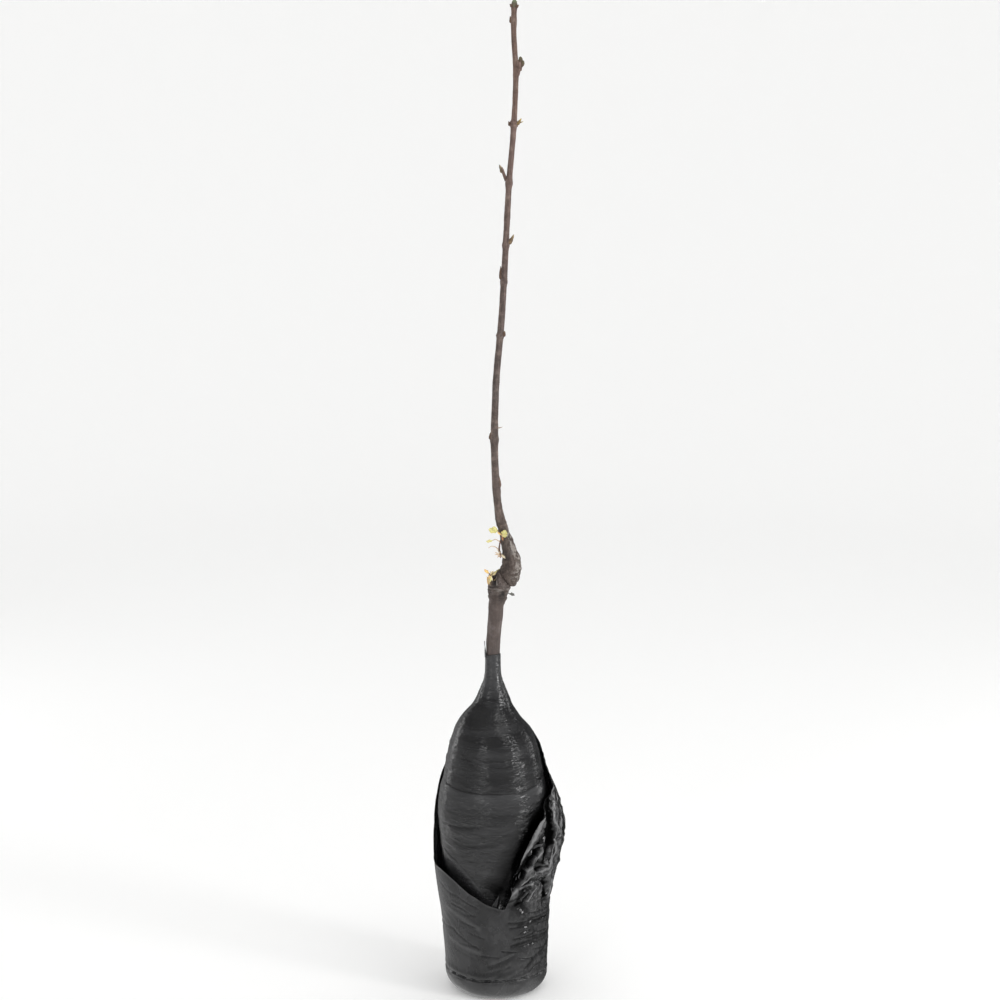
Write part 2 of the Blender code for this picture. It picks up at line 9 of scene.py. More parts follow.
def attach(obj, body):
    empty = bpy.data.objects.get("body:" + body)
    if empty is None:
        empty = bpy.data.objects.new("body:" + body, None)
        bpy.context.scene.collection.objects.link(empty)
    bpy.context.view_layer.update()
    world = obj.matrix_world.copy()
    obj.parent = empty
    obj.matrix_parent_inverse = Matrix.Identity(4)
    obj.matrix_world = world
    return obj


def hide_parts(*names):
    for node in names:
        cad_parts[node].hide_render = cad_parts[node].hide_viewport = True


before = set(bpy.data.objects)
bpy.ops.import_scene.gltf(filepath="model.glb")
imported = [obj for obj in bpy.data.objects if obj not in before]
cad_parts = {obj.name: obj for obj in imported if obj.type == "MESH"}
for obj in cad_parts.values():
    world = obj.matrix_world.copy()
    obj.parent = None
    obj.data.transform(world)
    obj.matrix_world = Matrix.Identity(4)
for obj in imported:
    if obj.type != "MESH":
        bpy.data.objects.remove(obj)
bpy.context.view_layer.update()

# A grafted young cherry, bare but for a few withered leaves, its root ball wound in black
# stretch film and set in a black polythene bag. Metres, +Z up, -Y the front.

# the camera comes first, because creases that were read off the photo are placed through it
camera = {
    "place": (0.004, -2.764, 1.1434),
    "pitch": 10.3,          # degrees below level
    "lens": 80.64,          # mm, on a sensor 36 mm wide
    "sensor": 36.0,
    "photoWidth": 1000,     # pixels
}

# lean of the ball's axis, shared by the film and the bag, and the gap left between two pieces
plant = {"lean": 0.0058, "leanReach": 0.22, "gap": 0.0003}


# Curves of one variable

def through(stations, at):
    # smooth curve through (position, value) stations: cubic pieces whose slope at each station is
    # the harmonic mean of the slopes beside it, or nothing where those differ in sign
    x, y = np.array(stations, float).T
    rise = np.diff(y) / np.diff(x)
    slope = np.concatenate(([rise[0]], np.zeros(len(x) - 2), [rise[-1]]))
    before, after = rise[:-1], rise[1:]
    same = before * after > 0
    slope[1:-1][same] = 2 * before[same] * after[same] / (before[same] + after[same])
    at = np.clip(at, x[0], x[-1])
    i = np.clip(np.searchsorted(x, at, side="right") - 1, 0, len(x) - 2)
    width = x[i + 1] - x[i]
    t = (at - x[i]) / width
    ends = y[i] * (1 + 2 * t) * (1 - t) ** 2 + y[i + 1] * t * t * (3 - 2 * t)
    return ends + slope[i] * width * t * (1 - t) ** 2 + slope[i + 1] * width * t * t * (t - 1)


def smoothStep(low, high, at):
    # 0 below low, 1 above high, 3t^2 - 2t^3 between
    t = np.clip((at - low) / (high - low), 0.0, 1.0)
    return t * t * (3 - 2 * t)


def bump(centre, spread, at):
    # (1 - d^2)^2, where d is the distance from the centre in spreads, and nothing past 1
    d = np.minimum(np.abs(at - centre) / spread, 1.0)
    return (1 - d * d) ** 2


def triangleWave(at):
    # from -1 to 1 and back, once for each whole number
    return 4 * np.abs(at - np.floor(at) - 0.5) - 1


def evenly(low, high, count):
    # count values at equal steps, both ends among them
    return np.linspace(low, high, count)


# Noise, seeded by whole numbers so that every run gives the same shapes

def cornerValue(i, j, k, seed):
    # a value from -1 to 1 for each lattice corner, by multiplying and folding its three numbers
    h = i.astype(np.int64).astype(np.uint32) * np.uint32(374761393)
    h = h ^ (j.astype(np.int64).astype(np.uint32) * np.uint32(668265263))
    h = h ^ (k.astype(np.int64).astype(np.uint32) * np.uint32(2246822519))
    h = h ^ np.uint32((seed * 3266489917) % 4294967296)
    h = (h ^ (h >> np.uint32(15))) * np.uint32(2246822519)
    h = (h ^ (h >> np.uint32(13))) * np.uint32(3266489917)
    h = h ^ (h >> np.uint32(16))
    return h / 2147483647.5 - 1


def smoothNoise(x, y, z, seed):
    # corner values of a unit lattice, blended by 3t^2 - 2t^3 along each axis in turn
    cell = [np.floor(a) for a in (x, y, z)]
    fx, fy, fz = (a - c for a, c in zip((x, y, z), cell))
    wx, wy, wz = (f * f * (3 - 2 * f) for f in (fx, fy, fz))
    total = 0.0
    for dx in (0, 1):
        for dy in (0, 1):
            for dz in (0, 1):
                share = (wx if dx else 1 - wx) * (wy if dy else 1 - wy) * (wz if dz else 1 - wz)
                total = total + share * cornerValue(cell[0] + dx, cell[1] + dy, cell[2] + dz, seed)
    return total


def noiseAt(spots, size, seed):
    # smooth noise over points, with a cell of size (one number, or one for each axis)
    size = np.broadcast_to(np.array(size, float), (3,))
    return smoothNoise(spots[..., 0] / size[0], spots[..., 1] / size[1], spots[..., 2] / size[2], seed)


def roughNoise(spots, size, seed, octaves=3):
    # octaves of smooth noise, each of half the size and 0.55 of the height of the last
    total, weight = 0.0, 1.0
    for octave in range(octaves):
        total = total + weight * noiseAt(spots, np.array(size) / 2 ** octave, seed + 31 * octave)
        weight = weight * 0.55
    return total


def facetNoise(u, v, around, seed):
    # crumpled sheet: random heights on a square lattice, each square split along one diagonal
    # and flat on both sides of it. u repeats after a whole number of cells.
    i, j = np.floor(u), np.floor(v)
    fu, fv = u - i, v - j
    here, there, flat = np.mod(i, around), np.mod(i + 1, around), np.zeros_like(i)
    a, b = cornerValue(here, j, flat, seed), cornerValue(there, j, flat, seed)
    c, d = cornerValue(here, j + 1, flat, seed), cornerValue(there, j + 1, flat, seed)
    rising = np.where(fu > fv, a + (b - a) * fu + (d - b) * fv, a + (c - a) * fv + (d - c) * fu)
    lower = a + (b - a) * fu + (c - a) * fv
    upper = d + (c - d) * (1 - fu) + (b - d) * (1 - fv)
    falling = np.where(fu + fv < 1, lower, upper)
    return np.where(cornerValue(here, j, flat, seed + 7) > 0, rising, falling)


# Meshes

def buildPiece(name, patches, finishes, node):
    # One mesh from patches. A patch is rings, an array rows x columns x 3 that wraps round its
    # columns, and the points that close it below its first row and above its last. A row's
    # neighbours run to the right and the rows upwards, so that the faces point outwards.
    spots, corners, sizes, chosen, base = [], [], [], [], 0
    paints = {label: [] for label in sorted({label for patch in patches for label in patch.get("paint", {})})}
    for patch in patches:
        rings = patch["rings"]
        rows, columns = rings.shape[:2]
        spots += [rings.reshape(-1, 3), np.array([patch["low"], patch["high"]], float)]
        grid = base + np.arange(rows * columns).reshape(rows, columns)
        turned = np.roll(grid, -1, axis=1)
        quads = np.stack([grid[:-1], turned[:-1], turned[1:], grid[1:]], axis=-1)
        pole = np.full(columns, base + rows * columns)
        caps = np.stack([[pole, turned[0], grid[0]], [grid[-1], turned[-1], pole + 1]]).transpose(0, 2, 1)
        corners += [quads.reshape(-1), caps.reshape(-1)]
        sizes += [np.full(quads.size // 4, 4), np.full(caps.size // 3, 3)]
        chosen.append(np.full(quads.size // 4 + caps.size // 3, patch.get("finish", 0)))
        for label, painted in paints.items():
            values = np.broadcast_to(patch.get("paint", {}).get(label, 0.0), (rows, columns))
            painted += [values.reshape(-1), [values[0].mean(), values[-1].mean()]]
        base += rows * columns + 2
    spots, corners, sizes, chosen = (np.concatenate(parts) for parts in (spots, corners, sizes, chosen))
    mesh = bpy.data.meshes.new(name)
    mesh.vertices.add(len(spots))
    mesh.vertices.foreach_set("co", spots.astype(np.float32).reshape(-1))
    mesh.loops.add(len(corners))
    mesh.loops.foreach_set("vertex_index", corners.astype(np.int32))
    mesh.polygons.add(len(sizes))
    mesh.polygons.foreach_set("loop_start", (np.cumsum(sizes) - sizes).astype(np.int32))
    for finish in finishes:
        mesh.materials.append(finish)
    mesh.polygons.foreach_set("material_index", chosen.astype(np.int32))
    mesh.update(calc_edges=True)
    mesh.validate()
    for label, painted in paints.items():
        layer = mesh.attributes.new(label, "FLOAT", "POINT")
        layer.data.foreach_set("value", np.concatenate(painted).astype(np.float32))
    mesh.shade_smooth()
    made = bpy.data.objects.new(name, mesh)
    bpy.context.scene.collection.objects.link(made)
    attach(made, "root")
    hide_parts(node)
    print(name, "made,", int((sizes - 2).sum()), "triangles")


def ringAzimuths(columns):
    # one row of azimuths in degrees, 360 k / columns - 180
    return (np.arange(columns) / columns * 360 - 180)[None]


def ringTurns(columns):
    # one row of turns in radians, 2 pi k / columns
    return (np.arange(columns) / columns * 2 * np.pi)[None]


def ends(rings):
    # the middles of a patch's first and last ring
    return rings[0].mean(axis=0), rings[-1].mean(axis=0)


def capRows(rim, pole, shares):
    # rings that shrink from a rim to a point, each at a share of the way out
    return pole + (rim[None] - pole) * np.array(shares)[:, None, None]


def unit(vectors):
    # each vector divided by its own length
    return vectors / np.linalg.norm(vectors, axis=-1, keepdims=True)


# Places read off the photo

def cameraRay(pixels):
    # direction through each (across, down) pixel: forward, plus a share of right and of up
    pitch = math.radians(camera["pitch"])
    focal = camera["lens"] / camera["sensor"] * camera["photoWidth"]
    middle = camera["photoWidth"] / 2
    across = (pixels[:, 0] - middle) / focal
    down = (pixels[:, 1] - middle) / focal
    forward = np.array([0.0, math.cos(pitch), -math.sin(pitch)])
    upward = np.array([0.0, math.sin(pitch), math.cos(pitch)])
    return forward + across[:, None] * np.array([1.0, 0.0, 0.0]) - down[:, None] * upward


def ontoBall(pixels, radiusAt):
    # (azimuth in degrees, height) where the rays meet a surface of radiusAt(azimuth, height):
    # the depth starts at the axis and is corrected by the surface's own front again and again
    pixels = np.array(pixels, float)
    ray, eye = cameraRay(pixels), np.array(camera["place"])
    depth = np.zeros(len(pixels))
    for _ in range(16):
        reach = (-depth - eye[1]) / ray[:, 1]
        height = eye[2] + reach * ray[:, 2]
        middle = -plant["lean"] * (1 - np.exp(-height / plant["leanReach"]))
        across = eye[0] + reach * ray[:, 0] - middle
        radius = radiusAt(np.degrees(np.arcsin(np.clip(across / 0.08, -0.95, 0.95))), height)
        sine = np.clip(across / radius, -0.98, 0.98)
        azimuth = np.degrees(np.arcsin(sine))
        depth = 0.5 * depth + 0.5 * radiusAt(azimuth, height) * np.cos(np.radians(azimuth))
    return azimuth, height


def around(azimuth, radius, height):
    # point at an azimuth in degrees, from the front to the right, round the ball's leaning axis
    turn = np.radians(azimuth)
    middle = -plant["lean"] * (1 - np.exp(-height / plant["leanReach"]))
    return np.stack(np.broadcast_arrays(middle + radius * np.sin(turn), -radius * np.cos(turn), height), -1)


def creased(azimuth, height, girth, folds):
    # Relief of straight creases. A fold is a line of azimuths and heights, a depth and a half
    # width; it adds its depth times (1 - distance / width), a tent with a sharp ridge.
    relief = np.zeros(np.broadcast(azimuth, height).shape)
    scale = np.pi / 180 * girth
    for (a, z), depth, width in folds:
        nearest = np.full(relief.shape, 1.0)
        for k in range(len(a) - 1):
            aside, above = (azimuth - a[k]) * scale, height - z[k]
            du, dz = (a[k + 1] - a[k]) * scale, z[k + 1] - z[k]
            share = np.clip((aside * du + above * dz) / (du * du + dz * dz + 1e-12), 0, 1)
            nearest = np.minimum(nearest, np.hypot(aside - share * du, above - share * dz))
        relief += depth * np.clip(1 - nearest / width, 0, 1)
    return relief


def drawnFolds(groups, radiusAt):
    # folds from groups of a depth, a half width and lines in the photo's pixels
    return [(ontoBall(pixels, radiusAt), depth, width) for depth, width, lines in groups for pixels in lines]


def foldedNet(azimuth, height, girth, lines, border, radiusAt):
    # Relief of a sheet folded along lines. Each line's points are a pixel of the photo and how far
    # the sheet stands out there in mm. The lines and the border, which stays at nothing, are
    # joined into triangles that keep every line as an edge, and each triangle is flat.
    scale = np.pi / 180 * girth
    spots, values, edges = [], [], []
    for line in lines:
        a, z = ontoBall([point[:2] for point in line], radiusAt)
        edges += [(len(spots) + k, len(spots) + k + 1) for k in range(len(line) - 1)]
        spots += list(zip(a * scale, z))
        values += [point[2] / 1000 for point in line]
    spots += [(a * scale, z) for a, z in border]
    values += [0.0] * len(border)
    # the places go in as mm, because the tolerance for near points is absolute
    made = delaunay_2d_cdt([Vector(spot) * 1000 for spot in spots], edges, [], 0, 0.01)
    corners, given = np.array([list(v) for v in made[0]]) / 1000, np.array(spots)
    worth = [values[origin[0] if origin else int(np.argmin(((given - corner) ** 2).sum(axis=1)))]
             for corner, origin in zip(corners, made[3])]
    relief = np.zeros(azimuth.shape)
    for i, j, k in made[2]:
        # shares of the second and third corner, from the areas that a place cuts off
        (bu, bz), (cu, cz) = corners[j] - corners[i], corners[k] - corners[i]
        u, z = azimuth * scale - corners[i][0], height - corners[i][1]
        whole = bu * cz - cu * bz
        if abs(whole) > 1e-9:
            second, third = (u * cz - cu * z) / whole, (bu * z - u * bz) / whole
            inside = (second >= 0) & (third >= 0) & (second + third <= 1)
            flat = worth[i] + (worth[j] - worth[i]) * second + (worth[k] - worth[i]) * third
            relief = np.where(inside, flat, relief)
    return relief


def stepped(azimuth, height, steps, radiusAt):
    # Edge of an overlapping turn of film, as depth, softness, fade, groove and a line in the
    # photo's pixels: the part below the line stands out by the depth, under a groove. The step
    # fades downwards and over 12 degrees at both ends.
    relief = np.zeros(np.broadcast(azimuth, height).shape)
    for depth, soft, fade, groove, pixels in steps:
        a, z = ontoBall(pixels, radiusAt)
        order, first, last = np.argsort(a), a.min(), a.max()
        below = np.interp(azimuth, a[order], z[order]) - height
        within = smoothStep(first - 2, first + 10, azimuth) * (1 - smoothStep(last - 10, last + 2, azimuth))
        lip = smoothStep(-soft, soft, below) * (1 - smoothStep(0, fade, below))
        relief += (depth * lip - groove * np.exp(-((below + 1.4 * soft) / soft) ** 2)) * within
    return relief


# Nodes of the materials

def addNode(tree, kind, inputs=None, **settings):
    # a node with its settings; an input is a value or another node's output
    made = tree.nodes.new(kind)
    for key, value in settings.items():
        setattr(made, key, value)
    for key, value in (inputs or {}).items():
        if isinstance(value, bpy.types.NodeSocket):
            tree.links.new(value, made.inputs[key])
        else:
            made.inputs[key].default_value = value
    return made


def maths(tree, operation, a, b=0.0, clamp=False):
    # one step of arithmetic on one or two values, held to 0 to 1 if asked
    return addNode(tree, "ShaderNodeMath", {0: a, 1: b}, operation=operation, use_clamp=clamp).outputs[0]


def times(tree, a, b):
    return maths(tree, "MULTIPLY", a, b)


def plus(tree, a, b):
    return maths(tree, "ADD", a, b)


def mixed(tree, share, a, b):
    # colour a turned into b by a share
    return addNode(tree, "ShaderNodeMix", {0: share, 6: a, 7: b}, data_type="RGBA").outputs[2]


def ranged(tree, value, low, high, bottom=0.0, top=1.0):
    # low to high becomes bottom to top, and nothing goes past them
    return addNode(tree, "ShaderNodeMapRange", {"Value": value, "From Min": low, "From Max": high,
                                                "To Min": bottom, "To Max": top}).outputs[0]


def stretched(tree, vector, scale, turn=(0, 0, 0)):
    # a vector scaled and then turned by a Mapping node
    return addNode(tree, "ShaderNodeMapping", {"Vector": vector, "Scale": scale, "Rotation": turn}).outputs[0]


def objectSpot(tree, scale=(1, 1, 1), turn=(0, 0, 0)):
    # Object coordinates, stretched and turned by a Mapping node
    return stretched(tree, addNode(tree, "ShaderNodeTexCoord").outputs["Object"], scale, turn)


def attribute(tree, name):
    # a value painted on the piece's own points
    return addNode(tree, "ShaderNodeAttribute", attribute_name=name).outputs["Fac"]


def noiseNode(tree, vector, scale, detail=3.0, roughness=0.55):
    # noise round 0.5, its largest cells 1 / scale across
    return addNode(tree, "ShaderNodeTexNoise", {"Vector": vector, "Scale": scale, "Detail": detail,
                                                "Roughness": roughness}).outputs["Fac"]


def tiltedFolds(tree, tilt, scale, squash, detail, roughness, width):
    # Ridges where noise crosses its middle. The place is turned by the tilt first and squashed
    # after it, so that the ridges themselves turn.
    turned = objectSpot(tree, (1, 1, 1), (0, math.radians(tilt), 0))
    value = noiseNode(tree, stretched(tree, turned, (squash, squash, 1.0)), scale, detail, roughness)
    return ranged(tree, maths(tree, "ABSOLUTE", maths(tree, "SUBTRACT", value, 0.5)), width, 0.0)


def colourRamp(tree, share, stops):
    # colours by a share, from (position, colour) stops that run from 0 to 1
    made = addNode(tree, "ShaderNodeValToRGB", {"Fac": share})
    elements = made.color_ramp.elements
    elements[0].color, elements[1].color = rgb(*stops[0][1]), rgb(*stops[-1][1])
    for at, colour in stops[1:-1]:
        elements.new(at).color = rgb(*colour)
    return made.outputs["Color"]


def newGroup(name, inputs, outputs):
    # a group of nodes: an input given as None is a vector, as a tuple a colour, as a number a value
    tree = bpy.data.node_groups.new(name, "ShaderNodeTree")
    for label, value in inputs.items():
        kind = "Vector" if value is None else "Color" if isinstance(value, tuple) else "Float"
        socket = tree.interface.new_socket(name=label, in_out="INPUT", socket_type="NodeSocket" + kind)
        if value is not None:
            socket.default_value = value
    for label in outputs:
        kind = "Color" if label == "Colour" else "Float"
        tree.interface.new_socket(name=label, in_out="OUTPUT", socket_type="NodeSocket" + kind)
    return tree, tree.nodes.new("NodeGroupInput").outputs, tree.nodes.new("NodeGroupOutput")


def newFinish(name):
    # a material, its nodes and its shader
    made = bpy.data.materials.new(name)
    made.use_nodes = True
    return made, made.node_tree, made.node_tree.nodes["Principled BSDF"]


def useGroup(tree, group, inputs):
    # what a group of nodes puts out for these inputs
    return addNode(tree, "ShaderNodeGroup", inputs, node_tree=group).outputs


def raised(tree, shader, height, distance, strength):
    # relief finer than the mesh, through a Bump node
    relief = addNode(tree, "ShaderNodeBump", {"Height": height, "Distance": distance, "Strength": strength})
    tree.links.new(relief.outputs["Normal"], shader.inputs["Normal"])


def dressed(tree, shader, colour, roughness):
    # colour and roughness of a shader, the roughness as a number or another node's output
    tree.links.new(colour, shader.inputs["Base Color"])
    if isinstance(roughness, float):
        shader.inputs["Roughness"].default_value = roughness
    else:
        tree.links.new(roughness, shader.inputs["Roughness"])


def rgb(red, green, blue):
    return (red, green, blue, 1.0)


def paintLightAndShade(tree, shader, shadeAndHighlightColours):
    # Painted light and shade from the piece's own attribute: above nothing it lightens the base
    # colour, a painted highlight; below it the colour darkens into painted shade and turns metallic,
    # so that deep folds mirror nothing either.
    tone = attribute(tree, "tone")
    deep = ranged(tree, tone, 0.0, -1.0)
    darker = mixed(tree, deep, shader.inputs["Base Color"].links[0].from_socket, rgb(*shadeAndHighlightColours[0]))
    tree.links.new(deep, shader.inputs["Metallic"])
    tree.links.new(mixed(tree, ranged(tree, tone, 0.0, 1.0), darker, rgb(*shadeAndHighlightColours[1])), shader.inputs["Base Color"])


def barkGroup():
    # Bark: fibres run up the stem, blotches turn the ground colour pale or dark, and flecks are
    # the lenticels, small lying ovals. Height puts the flecks up and the fibre grooves down.
    tree, given, result = newGroup("weathered bark", {
        "Vector": None, "Ground": rgb(0.12, 0.09, 0.08), "Groove": rgb(0.05, 0.04, 0.035),
        "Pale": rgb(0.25, 0.2, 0.17), "Fibre Scale": 900.0, "Fibre Share": 0.6, "Blotch Scale": 60.0,
        "Fleck Scale": 260.0, "Fleck Share": 0.5}, ["Colour", "Height", "Roughness"])
    fibre = noiseNode(tree, stretched(tree, given["Vector"], (1, 1, 0.07)), given["Fibre Scale"], 4.0, 0.6)
    blotch = noiseNode(tree, given["Vector"], given["Blotch Scale"], 4.0, 0.62)
    fine = noiseNode(tree, given["Vector"], times(tree, given["Blotch Scale"], 9.0), 3.0, 0.7)
    lying = stretched(tree, given["Vector"], (1, 1, 2.3))
    spots = addNode(tree, "ShaderNodeTexVoronoi", {"Vector": lying, "Scale": given["Fleck Scale"],
                                                   "Randomness": 1.0}, feature="F1").outputs["Distance"]
    fleck = times(tree, ranged(tree, spots, 0.24, 0.12), given["Fleck Share"])
    groove = ranged(tree, fibre, 0.56, 0.34)
    colour = mixed(tree, times(tree, groove, given["Fibre Share"]), given["Ground"], given["Groove"])
    for field, low, high, share, tint in (
            (blotch, 0.50, 0.72, 0.65, "Pale"), (blotch, 0.46, 0.28, 0.55, "Groove"),
            (fine, 0.56, 0.74, 0.50, "Pale"), (fine, 0.44, 0.30, 0.45, "Groove")):
        colour = mixed(tree, times(tree, ranged(tree, field, low, high), share), colour, given[tint])
    tree.links.new(mixed(tree, fleck, colour, given["Pale"]), result.inputs["Colour"])
    height = plus(tree, maths(tree, "SUBTRACT", times(tree, fleck, 0.8), groove), fine)
    tree.links.new(height, result.inputs["Height"])
    tree.links.new(ranged(tree, fine, 0.3, 0.7, 0.62, 0.92), result.inputs["Roughness"])
    return tree


def thinPlasticGroup():
    # Black polythene: a faint grey bloom in patches, and very fine wrinkles that are stretched
    # by the vector's own scale. Roughness rises with the bloom.
    tree, given, result = newGroup("thin plastic", {
        "Vector": None, "Ground": rgb(0.02, 0.02, 0.021), "Bloom": rgb(0.05, 0.05, 0.052),
        "Wrinkle Scale": 300.0, "Bloom Scale": 24.0, "Smooth": 0.25, "Dull": 0.42},
        ["Colour", "Height", "Roughness"])
    bloom = ranged(tree, noiseNode(tree, given["Vector"], given["Bloom Scale"], 4.0, 0.6), 0.40, 0.68)
    tree.links.new(mixed(tree, bloom, given["Ground"], given["Bloom"]), result.inputs["Colour"])
    tree.links.new(noiseNode(tree, given["Vector"], given["Wrinkle Scale"], 4.0, 0.6), result.inputs["Height"])
    span = maths(tree, "SUBTRACT", given["Dull"], given["Smooth"])
    tree.links.new(plus(tree, given["Smooth"], times(tree, bloom, span)), result.inputs["Roughness"])
    return tree


def dryGrowthGroup():
    # Withering leaf or stalk: the fresh colour turns dry in patches and along its edge, which
    # the piece's own attribute gives, and small dark specks lie on it.
    tree, given, result = newGroup("dry growth", {
        "Vector": None, "Fresh": rgb(0.5, 0.5, 0.1), "Dry": rgb(0.4, 0.25, 0.08), "Vein": rgb(0.7, 0.65, 0.3),
        "Edge": 0.0, "Rib": 0.0, "Patch Scale": 260.0}, ["Colour", "Height"])
    patch = noiseNode(tree, given["Vector"], given["Patch Scale"], 3.0, 0.6)
    fine = noiseNode(tree, given["Vector"], times(tree, given["Patch Scale"], 6.0), 2.0, 0.6)
    share = maths(tree, "ADD", ranged(tree, patch, 0.52, 0.70), times(tree, given["Edge"], 0.8), clamp=True)
    colour = mixed(tree, share, given["Fresh"], given["Dry"])
    colour = mixed(tree, times(tree, given["Rib"], 0.6), colour, given["Vein"])
    colour = mixed(tree, times(tree, ranged(tree, fine, 0.64, 0.74), 0.5), colour, rgb(0.10, 0.06, 0.03))
    tree.links.new(colour, result.inputs["Colour"])
    tree.links.new(plus(tree, fine, times(tree, given["Rib"], 0.7)), result.inputs["Height"])
    return tree


bark, thinPlastic, dryGrowth = barkGroup(), thinPlasticGroup(), dryGrowthGroup()


def plasticFinish(name, look):
    # Thin plastic, paler where the piece is painted inside, partly a duller side and partly painted
    # light in its shaded interior, with folds finer than the mesh. The height is a share of its
    # wrinkles plus, for each fold, a ridge times a painted value. Painted light and shade go over it.
    made, tree, shader = newFinish(name)
    skin = useGroup(tree, thinPlastic, {
        "Vector": objectSpot(tree, look["stretch"]), "Wrinkle Scale": look["wrinkleScale"],
        "Bloom Scale": look["bloomScale"], "Ground": rgb(*look["ground"]), "Bloom": rgb(*look["bloom"]),
        "Smooth": look["roughness"][0], "Dull": look["roughness"][1]})
    colour = skin["Colour"]
    if "inside" in look:
        colour = mixed(tree, attribute(tree, "inside"), colour, rgb(*look["inside"]))
    dressed(tree, shader, colour, skin["Roughness"])
    height = times(tree, skin["Height"], look["wrinkleShare"])
    for tilt, scale, label in look["folds"]:
        fold = tiltedFolds(tree, tilt, scale, *look["foldShape"])
        height = plus(tree, height, times(tree, fold, attribute(tree, label)))
    raised(tree, shader, height, 0.0005, look["strength"])
    paintLightAndShade(tree, shader, look["shadeAndHighlightColours"])
    return made


# Stretch film round the root ball

film = {
    "outline": [(0.0200, 0.0530), (0.1000, 0.0585), (0.1500, 0.0622), (0.2000, 0.0668), (0.2350, 0.0690),
                (0.2620, 0.0682), (0.2800, 0.0645), (0.3140, 0.0585), (0.3460, 0.0490), (0.3620, 0.0400),
                (0.3800, 0.0248), (0.4000, 0.0156), (0.4140, 0.0108), (0.4220, 0.0100), (0.4430, 0.0098)],
    "shoulder": (0.362, 0.016, 0.0065),   # height, spread and drop of the lower right shoulder
    "foot": 0.0014,
    "corner": 0.024,
    "wall": 0.0006,
    "columns": 220,
    "cornerRows": 6,
    "coarseRows": 16,
    "fineFrom": 0.115,
    "fineRows": 385,
    "innerRows": 40,
    "ragged": 0.0013,       # unevenness of the top edge
    # wrinkles: size across the turns and along them, tilt to the right and to the back, depth,
    # share of the noise that is a ridge, seed, and the heights between which they run
    "wrinkles": [
        (0.0042, 0.013, 0.30, 0.05, 0.00045, 0.55, 3, (0.10, 0.345)),
        (0.0055, 0.018, 0.08, -0.06, 0.00050, 0.50, 5, (0.10, 0.36)),
        (0.0040, 0.011, -0.42, 0.10, 0.00050, 0.55, 11, (0.10, 0.30)),
        (0.0044, 0.009, -0.85, 0.10, 0.00050, 0.55, 17, (0.335, 0.43)),
        (0.0044, 0.012, -0.18, 0.0, 0.00040, 0.55, 19, (0.29, 0.36)),
        (0.0040, 0.030, 0.0, 0.0, 0.00016, 0.60, 23, (0.395, 0.45)),
    ],
    # streaked spots in the photo's pixels: across, down, half width, half height, strength, and
    # slant, 1 where the streaks rise to the right and -1 where they fall
    "streaked": [
        (505, 701, 8, 15, 1.0, 1.0), (507, 722, 8, 15, 0.8, 0.5), (511, 742, 9, 15, 0.8, -0.6),
        (515, 763, 10, 15, 1.0, -1.0), (520, 783, 10, 13, 1.0, -0.2), (523, 799, 10, 10, 1.0, 0.8),
        (527, 815, 9, 12, 0.9, 1.0), (489, 722, 6, 18, 0.5, 0.2), (489, 743, 6, 12, 0.4, 0.0),
        (473, 783, 6, 16, 0.5, 0.0), (485, 813, 9, 9, 0.5, 0.4), (477, 826, 10, 5, 0.5, 0.0),
        (505, 825, 5, 4, 0.6, 0.0), (531, 745, 8, 18, 0.3, -0.6), (537, 772, 7, 22, 0.35, 0.2),
        (470, 712, 11, 14, 0.7, 0.9), (484, 690, 6, 18, 0.5, 1.0), (457, 738, 9, 18, 0.2, 0.2),
        (450, 762, 9, 18, 0.3, -0.4), (444, 800, 10, 26, 1.0, 0.3), (451, 831, 11, 14, 0.7, 0.8),
        (468, 850, 24, 12, 0.4, -0.7), (483, 868, 18, 10, 0.5, -0.8), (492, 886, 14, 10, 0.5, -0.4),
    ],
    "pixel": 0.0013,          # metres in a pixel of the photo
    "girth": 0.066,           # middling radius
    "patch": (0.022, 0.022, 0.040),   # size of the streaked patches behind
    "plainShare": 0.24,       # streaks elsewhere
    "neckShare": 0.10,        # and more of them round the stem
    "neck": (0.385, 0.410),   # heights where the film closes round the stem
    "bands": (0.011, 0.050, 0.00045, 29),  # low swells where turns lie over each other
    # overlapping edges: depth, softness, fade, groove, and a line in the photo's pixels
    "edges": [
        (0.0011, 0.0007, 0.030, 0.0007,
         [(438, 776), (441.5, 779), (462, 792), (487, 795), (505, 795.5), (520, 794), (543, 777)]),
        (0.0007, 0.0008, 0.020, 0.0004, [(442, 841), (456.6, 861), (467, 873), (485, 895)]),
        (-0.0006, 0.0006, 0.006, 0.0005, [(447, 822), (457, 826), (470, 827), (484, 826)]),
        (-0.0007, 0.0007, 0.007, 0.0005, [(452, 838), (461, 845), (480, 846), (500, 843)]),
        (0.0005, 0.0006, 0.010, 0.0003, [(470, 757), (484, 762), (500, 763), (512, 761)]),
    ],
    "edgeLightAndShade": 500.0,     # painted light where an edge stands out, painted shade where it sinks, per metre
    # painted sheen: the film is lighter where it closes round the stem, for the light its finer wrinkles scatter
    "neckSheen": 0.6,
    # painted shade where the bag's mouth shades it: strength, half width in metres, and lines in the photo's pixels
    "shades": [(-0.9, 0.026, [[(533, 826), (526, 842), (517, 858), (508, 874), (502, 888)]]),
               (-0.5, 0.014, [[(545, 790), (541, 808), (535, 825)]]), (-0.4, 0.014, [[(487, 885), (497, 894)]])],
    "leftFill": (0.0022, -80, 60, 0.155, 0.19, 0.25, 0.285),   # fuller left side: how much, and where
}
